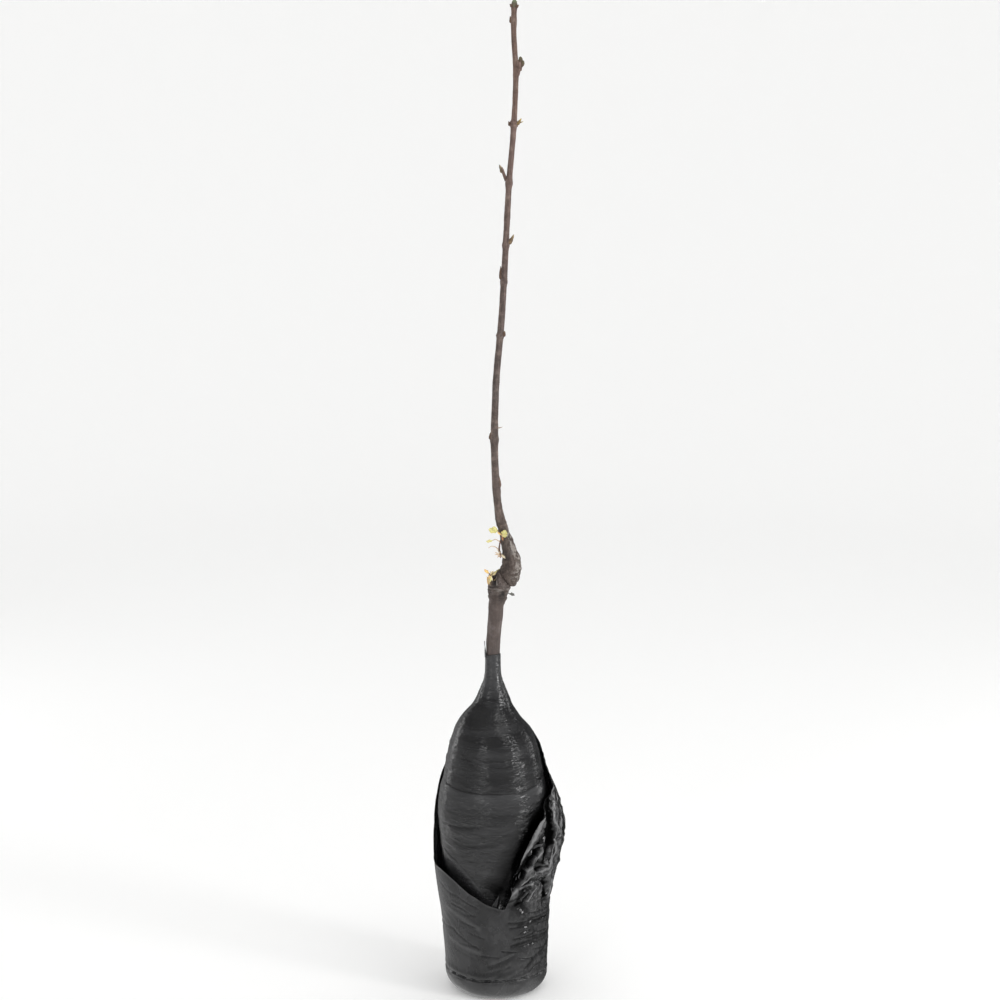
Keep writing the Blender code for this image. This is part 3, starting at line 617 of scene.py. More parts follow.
filmLook = {
    "stretch": (0.12, 0.12, 1.0), "wrinkleScale": 700.0, "bloomScale": 90.0,
    "ground": (0.010, 0.010, 0.0105), "bloom": (0.024, 0.024, 0.025), "roughness": (0.16, 0.26),
    "shadeAndHighlightColours": ((0.002, 0.002, 0.002), (0.05, 0.05, 0.052)),   # painted shade in grooves, and painted highlight and sheen on stretched edges and the neck
    "wrinkleShare": 0.25,
    # taut streaks: tilt, scale, and which of the two fields they follow
    "folds": [(-17, 300.0, "fall"), (-6, 250.0, "fall"), (22, 300.0, "rise"), (38, 320.0, "rise"),
              (3, 260.0, "rise")],
    "foldShape": (0.14, 1.0, 0.4, 0.09),   # squash, detail, roughness, width
    "strength": 0.8,
}


def filmRadius(azimuth, height):
    # the outline's radius, less the shoulder's drop times (1 + sin azimuth) / 2 about its height
    level, spread, drop = film["shoulder"]
    right = (1 + np.sin(np.radians(azimuth))) / 2
    return through(film["outline"], height) - drop * right * np.exp(-((height - level) / spread) ** 2)


def streakShares(azimuth, height):
    # How strongly the film is streaked, as two fields: streaks that rise to the right and streaks
    # that fall. Each spot adds (1 - d^2)^2 of its strength; the back has seeded patches.
    centre, level = ontoBall([spot[:2] for spot in film["streaked"]], filmRadius)
    rise, fall = 0.0 * azimuth, 0.0 * azimuth
    for (_, _, half, tall, strength, slant), a, z in zip(film["streaked"], centre, level):
        across = (azimuth - a) * np.pi / 180 * film["girth"] / (half * film["pixel"])
        d = np.minimum(across ** 2 + ((height - z) / (tall * film["pixel"])) ** 2, 1)
        weight = strength * (1 - d) ** 2 / 2
        rise, fall = rise + weight * (1 + slant), fall + weight * (1 - slant)
    spots = around(azimuth, film["girth"], height)
    everywhere = film["plainShare"] + film["neckShare"] * smoothStep(*film["neck"], height)
    behind = 0.5 * smoothStep(68, 90, np.abs(azimuth))
    return [np.clip(field + everywhere + behind * smoothStep(-0.1, 0.5, noiseAt(spots, film["patch"], seed)), 0, 1)
            for field, seed in ((rise, 151), (fall, 153))]


def filmRelief(azimuth, height, radius):
    # Wrinkles: each layer is noise stretched along tilted turns, z + tilt x + tilt y. Its ridge
    # stands where the noise crosses nothing, 1 - |noise| / share, where the film is streaked.
    # Swells where turns lie over each other, the overlapping edges and the fuller left side.
    x, y, z = np.moveaxis(around(azimuth, radius, height), -1, 0)
    relief = np.zeros(z.shape)
    rise, fall = streakShares(azimuth, height)
    for size, length, tiltX, tiltY, depth, share, seed, (low, high) in film["wrinkles"]:
        value = smoothNoise(x / length, y / length, (z + tiltX * x + tiltY * y) / size, seed)
        within = smoothStep(low, low + 0.02, z) * (1 - smoothStep(high - 0.015, high, z))
        streaked = 0.25 + 0.75 * (fall if tiltX > 0 else rise)
        relief += depth * np.clip(1 - np.abs(value) / share, 0, 1) * within * streaked
    size, length, depth, seed = film["bands"]
    relief += depth * smoothNoise(x / length, y / length, (z + 0.12 * x) / size, seed) * smoothStep(0.40, 0.36, z)
    fill, middle, spread, low, full, lessen, gone = film["leftFill"]
    within = smoothStep(low, full, height) * (1 - smoothStep(lessen, gone, height))
    relief += fill * bump(middle, spread, azimuth) * within
    return relief + stepped(azimuth, height, film["edges"], filmRadius)


def buildFilm(finish):
    # Rows run from the pole under the ball up the outside, coarse where the bag hides them, over
    # the top edge, which wavers, and down the inside. Corners are quarter rounds.
    foot, corner, wall = film["foot"], film["corner"], film["wall"]
    azimuth = ringAzimuths(film["columns"])
    top = film["outline"][-1][0]
    ragged = film["ragged"] * noiseAt(around(azimuth, 0.010, 0 * azimuth), 0.005, 27)

    def cornerRows(degrees, inset):
        turn = np.radians(degrees)[:, None]
        radius = filmRadius(azimuth, np.full_like(turn, corner)) - inset - corner * (1 - np.sin(turn))
        return around(azimuth, radius, foot + inset + corner * (1 - np.cos(turn)))

    def wavering(height):
        return height + ragged * smoothStep(top - 0.012, top, height)

    coarse = evenly(foot + corner, film["fineFrom"], film["coarseRows"] + 1)[1:]
    fine = evenly(film["fineFrom"], top, film["fineRows"] + 1)[1:]
    height = np.concatenate([coarse, fine])[:, None]
    turns, levels = np.broadcast_arrays(azimuth, height)
    radius = filmRadius(azimuth, height)
    side = around(azimuth, radius + filmRelief(turns, levels, radius), wavering(height))
    down = (top - (top - foot - corner) * evenly(0, 1, film["innerRows"] - 4) ** 1.5)[:, None]
    inner = around(azimuth, filmRadius(azimuth, down) - wall, wavering(down))
    under = cornerRows(evenly(8, 90, film["cornerRows"]), 0.0)
    rings = np.concatenate([under, side, inner, cornerRows(np.array([70, 48, 26, 10]), wall)])
    rise, fall, tone = np.zeros((3, *rings.shape[:2]))
    body = slice(len(under), len(under) + len(side))
    rise[body], fall[body] = streakShares(turns, levels)
    # painted light and shade along the overlapping edges, the neck's painted sheen, and painted shade under the
    # bag's mouth
    tone[body] = (film["edgeLightAndShade"] * stepped(turns, levels, film["edges"], filmRadius)
                  + film["neckSheen"] * smoothStep(*film["neck"], levels)
                  + creased(turns, levels, film["girth"], drawnFolds(film["shades"], filmRadius)))
    low, high = (around(0.0, 0.0, np.float64(level)) for level in (foot, foot + wall))
    patch = {"rings": rings, "low": low, "high": high,
             "paint": {"rise": rise, "fall": fall, "tone": np.clip(tone, -1, film["neckSheen"])}}
    buildPiece("filmWinding", [patch], [finish], "stretch_film")


# Loose end of the film, which lifts off the stem

filmEnd = {"foot": 0.4385, "length": 0.0215, "width": 0.0100, "taper": 0.75, "wall": 0.00035,
           "lift": 0.0005, "azimuth": -78, "columns": 28, "rows": 36}


def buildFilmEnd(finish):
    # strip up the stem: its reach grows with the square of the way up, its edges curl and
    # wave, and a flattened ring goes round it at every row
    half = filmEnd["wall"] / 2
    v = evenly(0, 1, filmEnd["rows"])[:, None]
    turn = ringTurns(filmEnd["columns"])
    across = np.cos(turn) * (1 - filmEnd["taper"] * v ** 1.4)
    height = filmEnd["foot"] + filmEnd["length"] * v + 0.0016 * across * v
    reach = filmRadius(filmEnd["azimuth"], height) + plant["gap"] + half + filmEnd["lift"] * v * v
    reach = reach + 0.0004 * v * np.sin(9 * v + 2.2 * across) + 0.0005 * v * across ** 2
    spread = np.degrees(filmEnd["width"] / 2 / reach)
    rings = around(filmEnd["azimuth"] + spread * across, reach - half * np.sin(turn), height)
    low, high = ends(rings)
    buildPiece("filmLooseEnd", [{"rings": rings, "low": low, "high": high}], [finish], "film_tail")


# Polythene bag

bag = {
    # radius by height, the mouth's height by azimuth, and what two places stand out further
    "girth": [(0.0200, 0.0655), (0.1000, 0.0700), (0.1400, 0.0725), (0.1800, 0.0745), (0.2400, 0.0750),
              (0.2900, 0.0690), (0.3450, 0.0572)],
    "rim": [(-180, 0.340), (-140, 0.315), (-106, 0.272), (-88, 0.172), (-55, 0.167), (-33, 0.152),
            (-8, 0.134), (9, 0.128), (26, 0.190), (48, 0.240), (75, 0.272), (97, 0.298), (122, 0.332),
            (145, 0.345), (180, 0.340)],
    "leftFlare": [(0.100, 0.0), (0.170, 0.0035), (0.215, 0.0030), (0.270, 0.0), (0.345, 0.0)],
    "rightLobe": [(0.125, 0.0), (0.164, 0.0062), (0.218, 0.0145), (0.240, 0.0115), (0.272, 0.0050),
                  (0.300, 0.0), (0.345, 0.0)],
    "creaseHeight": 0.026,
    "cornerWidth": 0.021,
    # pleats at the edge of the gathered side: depth, degrees from one to the next, height climbed
    # in that, their middle and spread, and the heights where they start and are full
    "pleats": (0.0034, 27, 0.085, 58, 62, 0.115, 0.165),
    "pleatShare": 0.35,
    "wall": 0.0006,
    "girthScale": 0.072,      # middling radius
    "columns": 400,
    "gathered": (2.0, 50, 75),   # how much denser the columns stand, and where
    "cornerRows": 20,
    "wallRows": 182,
    "innerRows": 30,
    # folds read off the photo: depth and half width in metres, and lines in its pixels
    "folds": [
        # thin creases that sweep up the lower right side
        (-0.0008, 0.0015, [
            [(508.4, 923.6), (516, 923.5), (529, 920.5), (546, 915)], [(510, 929), (519, 927.5), (528, 926)],
            [(513.7, 939.5), (522, 937.5), (534, 932), (546, 928)], [(526.5, 937.5), (538, 934), (547, 930.5)],
            [(502, 951.6), (509, 952.5), (516, 952.3)], [(519, 947), (532, 942.5), (546, 935.6)],
            [(517.5, 958), (525, 958.8), (533, 957.5)], [(528, 919), (539, 915), (548, 910)],
            [(535.5, 948.5), (547, 943)], [(529, 971.6), (536, 964), (546, 956)],
            [(526.8, 913.2), (534.8, 912.1), (542.8, 909.2), (549, 903.5)], [(521, 933), (530, 929.5)],
            [(538, 923), (548, 918)], [(540, 954), (547, 949)],
        ]),
        # broad dents between them
        (-0.0007, 0.0040, [[(512, 946), (529, 940), (547, 931)], [(519, 925), (534, 921), (547, 914)],
                           [(525.6, 968), (536, 955), (547, 941)]]),
        # faint folds of the smooth left side
        (-0.0003, 0.0022, [
            [(444.7, 923), (453.3, 927.6), (460.2, 935.6), (468.2, 942.5), (478.6, 949.4)],
            [(440, 880), (447.6, 890.8), (455, 895)], [(456.7, 895.4), (465.9, 902.3), (476.3, 908)],
            [(447.6, 950), (450.5, 968)], [(462.5, 921.8), (475.1, 927.6)], [(463.6, 915), (475.1, 916)],
            [(460, 943), (477, 947)], [(452, 903), (463, 909), (471, 915)], [(470, 933), (484, 939)],
            [(482, 956), (498, 958)],
        ]),
        (0.0003, 0.0048, [[(447, 905), (462, 917), (479, 929)], [(450, 936), (463, 946), (480, 953)]]),
    ],
    # painted shade in hollows and painted highlights on ridges and the turned edge, partly its
    # duller side: strength, half width in metres, and lines in the photo's pixels
    "shades": [
        (-1.0, 0.0072, [[(541, 840), (534, 850), (527, 858), (521, 867), (514, 876), (507, 886), (502, 893)]]),
        (-1.0, 0.0038, [[(543.5, 877), (544, 888), (545.5, 898)],
                        [(548, 822), (548.5, 838), (547, 852), (543, 862)]]),
        (-0.8, 0.0070, [[(558, 793), (562, 812), (563, 826), (561, 842), (557, 856)]]),
        (-1.0, 0.0062, [[(548, 788), (549, 802), (551, 816), (552, 830), (551, 842)]]),
        (-0.9, 0.0020, [[(516, 906), (523, 903), (527, 896), (530, 889)],
                        [(500, 905.5), (508, 902.5), (517, 898.5)],
                        [(536, 871), (541, 867), (546, 866)], [(533, 876), (528, 882.5), (521, 886)],
                        [(557.5, 800), (557.5, 815), (557.3, 826)], [(553, 846), (551, 856), (548, 863)],
                        [(537, 884), (534, 890), (529, 900)]]),
        (0.8, 0.0030, [[(541.5, 820), (536, 832), (530, 845), (522, 858), (516, 868), (508, 884)]]),
        (1.7, 0.0012, [[(540, 820.5), (543, 817), (545.5, 818)],
                       [(551, 787), (551, 793), (553.8, 799), (553.8, 809), (555, 821), (558, 829), (556.9, 839),
                        (556, 850), (553.8, 860), (549, 869), (546, 874)],
                       [(554, 782), (555, 791), (556.5, 802), (559.4, 809), (559.4, 821), (560, 829)],
                       [(554.4, 839), (551.3, 855), (548, 866)],
                       [(561.3, 834), (559.4, 850), (556.3, 861), (554.4, 871)]]),
        (1.2, 0.0016, [[(535, 874), (541, 872), (547, 868)], [(527, 870.5), (531, 867)], [(543, 841), (543.8, 838)],
                       [(528, 901), (532, 893), (536, 886)], [(521, 886), (527, 881), (533, 876)]]),
        (0.6, 0.0030, [[(503, 902), (511, 894), (517, 890)], [(520, 890), (526, 887), (531, 884)],
                       [(542, 852), (537, 859), (535, 868)], [(549, 880), (548, 895)]]),
    ],
    "mottle": (0.55, 0.0026),   # how much the gathered side's painted light and shade varies at random, over what size
    "footReflection": 0.06,           # painted reflection of the floor under the bag, and the flaps' painted light and shade
    "flapShading": 0.0,
    # small folded corners inside the mouth's lowest stretch: foot, heading, length, width
    "flaps": [((-0.0050, -0.0690, 0.1270), (0.42, 0.10, 1.0), 0.0170, 0.0090),
              ((0.0030, -0.0690, 0.1250), (0.10, 0.25, 1.0), 0.0130, 0.0060),
              ((0.0085, -0.0680, 0.1270), (-0.60, 0.10, 1.0), 0.0100, 0.0040)],
    "randomCreases": 190,
    # groove, ridge and bulge round the foot: depth, height over the crease, softness
    "footLayers": [(-0.0024, 0.0030, 0.0014), (0.0007, 0.0008, 0.0011), (0.0006, 0.0085, 0.0040)],
    # crumple of the sheet: cells round, height of a cell, slant as height in a cell round, seed,
    # and the depth on the gathered side, below it, behind and everywhere
    "crumple": [(34, 0.019, 0.10, 61, 0.0010, 0.0006, 0.0008, 0.0),
                (62, 0.011, -0.05, 67, 0.0008, 0.0006, 0.0004, 0.0),
                (120, 0.0052, 0.03, 71, 0.0010, 0.0004, 0.0, 0.0001)],
    # the gathered side as a folded sheet: lines of (across, down, mm outwards) in the photo's pixels
    "net": [
        # turned edge along the mouth, and its inner side
        [(506, 886, 1.0), (512, 876, 1.5), (516, 866, 2.0), (519, 857, 2.0), (527, 845, 2.5), (533, 833, 2.5),
         (537, 824, 3.0), (543, 817, 3.5)],
        [(508, 889, 0.0), (515, 875, 1.0), (522, 867, 1.5), (527, 857, 1.0), (532, 848, 1.5), (537, 841, 1.0),
         (543, 836, 1.5), (546, 822, 1.5)],
        # deep valley beside it, and on up the side
        [(505, 893.5, -5.0), (512.5, 884, -7.0), (520, 872.5, -8.0), (526, 863, -8.0), (532, 853.5, -7.5),
         (537.5, 846.5, -7.0)],
        [(503.5, 899.5, -4.0), (512, 891, -6.5), (519.5, 880.5, -8.0), (525.5, 872.5, -8.5), (530, 863.5, -8.5),
         (535, 854.5, -8.0), (541.5, 846, -6.5)],
        [(547.5, 834, -4.0), (548.5, 822, -6.0), (548.5, 808, -6.0), (547, 795, -6.0)],
        # first ridge beyond it
        [(502, 903, 1.5), (511, 893, 3.0), (518, 888, 1.0), (524, 879, 1.5), (527, 870, 3.0), (531, 867, 3.5),
         (534, 858, 2.5), (541, 851, 2.5), (542.5, 843, 3.0), (546, 838, 1.0)],
        [(497, 906, -0.5), (506, 903.5, 0.0), (516, 899, 1.5), (516.5, 893, 1.5)],
        # dark creases and long facets of the lower part
        [(512, 906, -2.5), (519, 901, -4.5), (524, 893.5, -4.5), (530, 887.5, -3.0)],
        [(521, 899, 1.5), (526, 893, 2.0), (532, 886, 1.5)],
        [(516.5, 908.5, -2.5), (523, 904.5, -4.5), (527, 898, -3.5), (529.5, 891, -1.5)],
        [(527, 902, 0.5), (531.5, 893, 1.8), (534, 888, 1.5), (538, 884, 1.0)],
        [(541, 901, 0.5), (540, 893, 1.5), (541, 885, 1.5)],
        # narrow slot near the right side
        [(543.5, 899, -2.5), (544, 889, -7.5), (543.5, 880, -6.0)],
        # ridges and valleys that run up the right side
        [(548, 901, 1.0), (548.5, 890, 2.0), (547.5, 880, 2.5), (547, 873, 3.5), (550, 862, 3.5), (552, 851, 3.5),
         (554, 841, 3.5), (556, 832, 2.5)],
        [(552, 868, 0.0), (554, 856, -2.0), (556, 844, -2.5), (557, 834, -1.5)],
        [(554.5, 868, 1.5), (556, 858, 2.5), (557.5, 848, 3.0), (559, 838, 3.0), (559.5, 828, 2.5),
         (558.5, 815, 2.5), (557, 803, 2.0), (554, 792, 2.0)],
        [(550.5, 845, -3.5), (551, 838, -5.0), (552.5, 825, -4.5), (551, 812, -3.5), (550, 800, -4.5)],
        [(550, 786, 1.5), (552, 790, 2.5), (553.5, 800, 3.0), (554.5, 809, 3.0), (555, 818, 2.5)],
        # crumpled patch in the middle
        [(538, 863, -4.0), (543, 859, -1.0)],
        [(536, 872, -4.0), (541, 868, -2.0)],
        [(542, 865, 1.5), (544, 871, 1.0)],
        [(522, 881, 0.5), (529, 876, 1.8), (534, 874, 1.5), (540, 876.5, 1.0), (545, 875.5, 1.5)],
        [(528, 882.5, -1.8), (534, 879, -1.5), (539, 880, -1.0)],
        [(547, 858, -3.0), (547.5, 848, -4.0)],
    ],
    # azimuth and height of the net's border
    "netBorder": [(-12, 0.126), (-4, 0.132), (3, 0.120), (14, 0.118), (26, 0.117), (40, 0.118), (56, 0.119),
                  (74, 0.122), (92, 0.130), (100, 0.160), (104, 0.200), (100, 0.240), (92, 0.275), (76, 0.300),
                  (60, 0.300), (44, 0.290), (30, 0.260), (16, 0.220), (4, 0.170), (-6, 0.150)],
}
bagLook = {
    "stretch": (1, 1, 0.6), "wrinkleScale": 420.0, "bloomScale": 30.0,
    "ground": (0.012, 0.012, 0.0125), "bloom": (0.030, 0.030, 0.031), "roughness": (0.17, 0.32),
    # paler inner side: partly a duller side of the sheet and partly painted light in the shaded interior
    "inside": (0.055, 0.055, 0.057),
    "shadeAndHighlightColours": ((0.002, 0.002, 0.002), (0.150, 0.150, 0.152)),   # painted shade in valleys, and painted highlight on lifted facets
    "wrinkleShare": 0.3,
    # fine crumple, strongest where the bag is gathered
    "folds": [(58, 90.0, "crumple"), (78, 130.0, "crumple"), (40, 200.0, "crumple")],
    "foldShape": (0.35, 2.0, 0.5, 0.10),
    "strength": 0.55,
}


def bagBase(azimuth, height):
    # girth, plus a flare on the left and a lobe on the right
    flare = through(bag["leftFlare"], height) * bump(-95, 70, azimuth)
    return through(bag["girth"], height) + flare + through(bag["rightLobe"], height) * bump(88, 62, azimuth)


def bagRim(azimuth):
    # mouth's height, with a slight unevenness
    turn = np.radians(azimuth)
    uneven = noiseAt(np.stack([np.sin(turn), np.cos(turn), 0 * turn], -1), 0.16, 41)
    return through(bag["rim"], azimuth) + 0.0011 * uneven


def seededCreases():
    # short creases all round: they climb to the right on the gathered side, run any way behind
    # and fall elsewhere
    draw = np.random.default_rng(12)
    folds = []
    for _ in range(bag["randomCreases"]):
        middle = draw.uniform(-180, 180)
        level = 0.030 + draw.uniform(0, 1) ** 1.2 * 0.30
        gathered = 0 < middle < 150
        slope = math.radians(draw.uniform(12, 60) if gathered else draw.uniform(-55, 20))
        if middle > 150 or middle < -100:
            slope = math.radians(draw.uniform(-85, 85))
        length = draw.uniform(0.012, 0.045)
        half, rise = math.degrees(math.cos(slope) * length / 2 / bag["girthScale"]), math.sin(slope) * length / 2
        size = draw.uniform(0.5, 1.0) * (1.0 if gathered else 0.5) * (0.22 if -80 < middle < 5 else 1.0)
        line = np.array([middle - half, middle + half]), np.array([level - rise, level + rise])
        folds.append((line, -0.0014 * size, 0.0022 + 0.0030 * size))
    return folds


def bagRelief(azimuth, height):
    # Pleats, the folds from the photo, seeded creases and three sizes of crumple. The crumple is
    # flat facets that climb to the right, strong on the gathered side and weak on the left.
    girth = bag["girthScale"]
    depth, pitch, rise, middle, spread, start, full = bag["pleats"]
    gathered = bump(middle, spread, azimuth) * smoothStep(70, 95, azimuth)
    relief = bag["pleatShare"] * depth * gathered * smoothStep(start, full, height)
    relief = relief * triangleWave(azimuth / pitch - (height - start) / rise)
    relief = relief + creased(azimuth, height, girth, drawnFolds(bag["folds"], bagBase) + seededCreases())
    relief = relief + foldedNet(azimuth, height, girth, bag["net"], bag["netBorder"], bagBase)
    spots = around(azimuth, girth, height)
    where = (bump(75, 95, azimuth) * smoothStep(0.10, 0.17, height),
             bump(52, 62, azimuth) * smoothStep(0.036, 0.05, height) * (1 - smoothStep(0.13, 0.19, height)),
             smoothStep(110, 150, np.abs(azimuth)) * smoothStep(0.03, 0.08, height), 1.0)
    warp = 0.35 * noiseAt(spots, 0.012, 51)
    for (cells, tall, slant, seed, *depths), turned in zip(bag["crumple"], (1, -1, 1)):
        across, up = azimuth / 360 * cells + height / slant + warp, height / tall + turned * warp
        facets = facetNoise(across, up, cells, seed)
        relief = relief + sum(depth * share for depth, share in zip(depths, where)) * facets
    return relief + (0.0006 - 0.0004 * bump(-40, 60, azimuth)) * noiseAt(spots, (0.03, 0.03, 0.05), 83)


def bagRadius(azimuth, height, rim):
    # base and relief, a groove round the foot with a crisp ridge under it, and the mouth's lip
    foot = around(azimuth, bag["girthScale"], 0 * height)
    over = height - bag["creaseHeight"] - 0.0011 * noiseAt(foot, 0.02, 91)
    radius = bagBase(azimuth, height) + bagRelief(azimuth, height) * smoothStep(0.0262, 0.032, height)
    for (depth, level, soft), pinch in zip(bag["footLayers"], (0.65 + 0.6 * noiseAt(foot, 0.006, 97), 1, 1)):
        radius = radius + depth * pinch * np.exp(-((over - level) / soft) ** 2)
    return radius + 0.0005 * np.exp(-((rim - height) / 0.0012) ** 2)


def buildBag(finish):
    # columns stand closer on the gathered side, rows run from the pole under the bag up the
    # outside, over the mouth and down the inside
    wall, crease, width, girth = bag["wall"], bag["creaseHeight"], bag["cornerWidth"], bag["girthScale"]
    fine = evenly(-180, 180, 2001)
    denser, middle, spread = bag["gathered"]
    density = 1 + denser * bump(middle, spread, fine)
    share = np.concatenate(([0], np.cumsum((density[1:] + density[:-1]) / 2)))
    azimuth = np.interp(np.arange(bag["columns"]) / bag["columns"] * share[-1], share, fine)[None]
    rim = bagRim(azimuth)
    foot = bagRadius(azimuth, 0 * azimuth + crease, rim)
    turn = np.radians(evenly(3, 88, bag["cornerRows"]))[:, None]
    cornerHeight = crease * (1 - np.cos(turn)) + 0 * azimuth
    dents = 0.0005 * noiseAt(around(azimuth, foot, cornerHeight), (0.012, 0.012, 0.006), 107) * np.sin(turn) ** 2
    under = around(azimuth, foot - width * (1 - np.sin(turn)) + dents, cornerHeight)
    up = evenly(0, 1, bag["wallRows"])[:, None]
    height = crease + (rim - crease) * up
    wide = azimuth + 0 * height
    radius = bagRadius(wide, height, rim + 0 * up)
    side = around(azimuth, radius, height)
    lip = around(azimuth, radius[-1:] - wall / 2, rim + wall * 0.4)
    innerHeight = rim - (rim - crease) * evenly(0, 1, bag["innerRows"])[:, None] ** 1.8
    loose = 0.0024 * smoothStep(0.018, 0.06, rim - innerHeight)
    innerRadius = bagRadius(azimuth + 0 * innerHeight, innerHeight, rim + 0 * innerHeight) - wall - loose
    back = np.radians([66, 44, 22, 8])[:, None]
    base = around(azimuth, innerRadius[-1:] - width * (1 - np.sin(back)),
                  wall + (crease - wall) * (1 - np.cos(back)) + 0 * azimuth)
    rings = np.concatenate([under, side, lip, around(azimuth, innerRadius, innerHeight), base])
    inside, tone = np.zeros((2, *rings.shape[:2]))
    inside[len(under) + len(side) + 1:] = 1.0
    over = smoothStep(0.10, 0.15, rings[..., 2])
    crumple = 0.06 + 0.94 * bump(62, 70, azimuth) * over + 0.25 * bump(50, 80, azimuth) * (1 - over)
    # painted light where the net and the folds stand out and painted shade where they lie deep,
    # with the painted hollows and highlights, and a mottle of noise on the gathered side
    net = foldedNet(wide, height, girth, bag["net"], bag["netBorder"], bagBase)
    lines, painted = (creased(wide, height, girth, drawnFolds(bag[label], bagBase))
                      for label in ("folds", "shades"))
    share, grain = bag["mottle"]
    mottle = share * bump(62, 70, wide) * smoothStep(0.10, 0.15, height)
    mottle = mottle * noiseAt(around(wide, girth, height), grain, 113)
    tone[len(under):len(under) + len(side)] = (np.where(net > 0, net / 0.010, net / 0.0060) + lines / 0.0014
                                               + np.clip(1.6 * painted, -1.2, 1) + mottle)
    # painted reflection of the floor on the rounded foot below the crease
    tone[:len(under)] = bag["footReflection"]
    patches = [{"rings": rings, "low": (0.0, 0.0, 0.0), "high": (0.0, 0.0, wall),
                "paint": {"inside": inside, "crumple": np.clip(crumple, 0, 1), "tone": np.clip(tone, -1, 1)}}]
    for place, heading, length, flapWidth in bag["flaps"]:
        patches.append(shardPatch(place, heading, length, flapWidth, wall, 0.2, 0))
        patches[-1]["paint"] = {"inside": 0.0, "crumple": 0.3, "tone": bag["flapShading"]}
    buildPiece("bagSkin", patches, [finish], "outer_bag")


# Woody stems, as (height, distance to the right of the origin, radius)

stems = {
    "rootstock": [(0.3503, -0.0048, 0.0125), (0.3680, -0.0048, 0.0096), (0.4000, -0.0049, 0.0086),
                  (0.4450, -0.0047, 0.0085), (0.4600, -0.0044, 0.0090), (0.4760, -0.0031, 0.0092),
                  (0.4910, -0.0018, 0.0094), (0.5075, -0.0008, 0.0098), (0.5126, 0.0004, 0.0107),
                  (0.5255, 0.0017, 0.0127), (0.5319, 0.0030, 0.0140), (0.5387, 0.0026, 0.0144),
                  (0.5540, 0.0020, 0.0136)],
    "scion": [(0.5260, 0.0080, 0.0062), (0.5315, 0.0098, 0.0078), (0.5350, 0.0122, 0.0094),
              (0.5372, 0.0140, 0.0108), (0.5400, 0.0150, 0.0120), (0.5476, 0.0163, 0.0128),
              (0.5565, 0.0186, 0.0124), (0.5642, 0.0184, 0.0116), (0.5693, 0.0172, 0.0110),
              (0.5770, 0.0155, 0.0094), (0.5897, 0.0118, 0.0075), (0.6010, 0.0091, 0.0066),
              (0.6154, 0.0045, 0.0059), (0.6300, 0.0020, 0.0051), (0.6700, -0.0016, 0.0047),
              (0.7180, -0.0030, 0.0045), (0.7830, -0.0012, 0.0042), (0.8720, 0.0062, 0.0041),
              (0.9450, 0.0104, 0.0038), (1.0340, 0.0150, 0.0036), (1.1000, 0.0205, 0.0034),
              (1.1650, 0.0232, 0.0032), (1.2200, 0.0206, 0.0033), (1.2600, 0.0215, 0.0034)],
    "bow": 0.005,             # forward, between the knee's top and the tree's
    "kneeTop": 0.600,
    "leaderTop": 1.2450,
    "treeTop": 1.254,
    # planes of the graft and of the snag's cut: a point and a normal
    "graft": ((0.0116, 0.0, 0.5425), (0.70, 0.0, 0.70)),
    "snag": ((-0.0048, 0.0, 0.5455), (-0.50, -0.02, 0.84)),
    # how far the knee reaches into the stock, its lowest level, its taper
    "overlap": (0.0075, 0.5340, 0.0038),
    "swell": (0.0003, 0.006),   # at each bud: rise, spread
    # thicker places: height, rise, spread
    "knots": [(1.2435, 0.0004, 0.0030), (1.1085, 0.0012, 0.0016), (1.1045, 0.0013, 0.0016),
              (1.0345, 0.0009, 0.0045), (0.9590, 0.0006, 0.0030), (0.9140, 0.0006, 0.0035),
              (0.8485, 0.0009, 0.0022), (0.7175, 0.0007, 0.0050)],
    "columns": {"rootstock": 110, "knee": 110, "leader": 56},
    "rows": {"rootstock": 330, "knee": 190, "leader": 1500},
    "lenticels": {"rootstock": 90, "scion": 260},
    "step": 0.002,            # over which a stem's direction is measured
}

# The bark's relief in metres. On the scion the second value is what the old knee has more of,
# and a noise has its size with it.
scionBark = {"fibres": (0.00008, 0.00014), "lumps": (0.00016, 0.0006, 0.010),
             "plates": (0.0007, (0.0030, 0.0030, 0.0042)), "splits": (0.0006, (0.0040, 0.0040, 0.0065)),
             "scars": (0.00010, 0.0011, 0.0045), "bulges": 0.0007, "lenticels": 0.00014,
             "kneeLumps": (0.0009, 0.0045)}
stockBark = {"fibres": 0.00014, "lumps": (0.0003, 0.012),
             "plates": (0.0011, (0.0042, 0.0042, 0.0026)), "cracks": (0.0008, (0.0060, 0.0060, 0.0030)),
             # collar rings: height, spread, depth
             "collars": [(0.5165, 0.0022, 0.0009), (0.5245, 0.0020, 0.00072), (0.5320, 0.0019, 0.00081)],
             "hollow": 0.0034, "lenticels": 0.00022, "notch": 0.0055, "splinters": 0.0009}

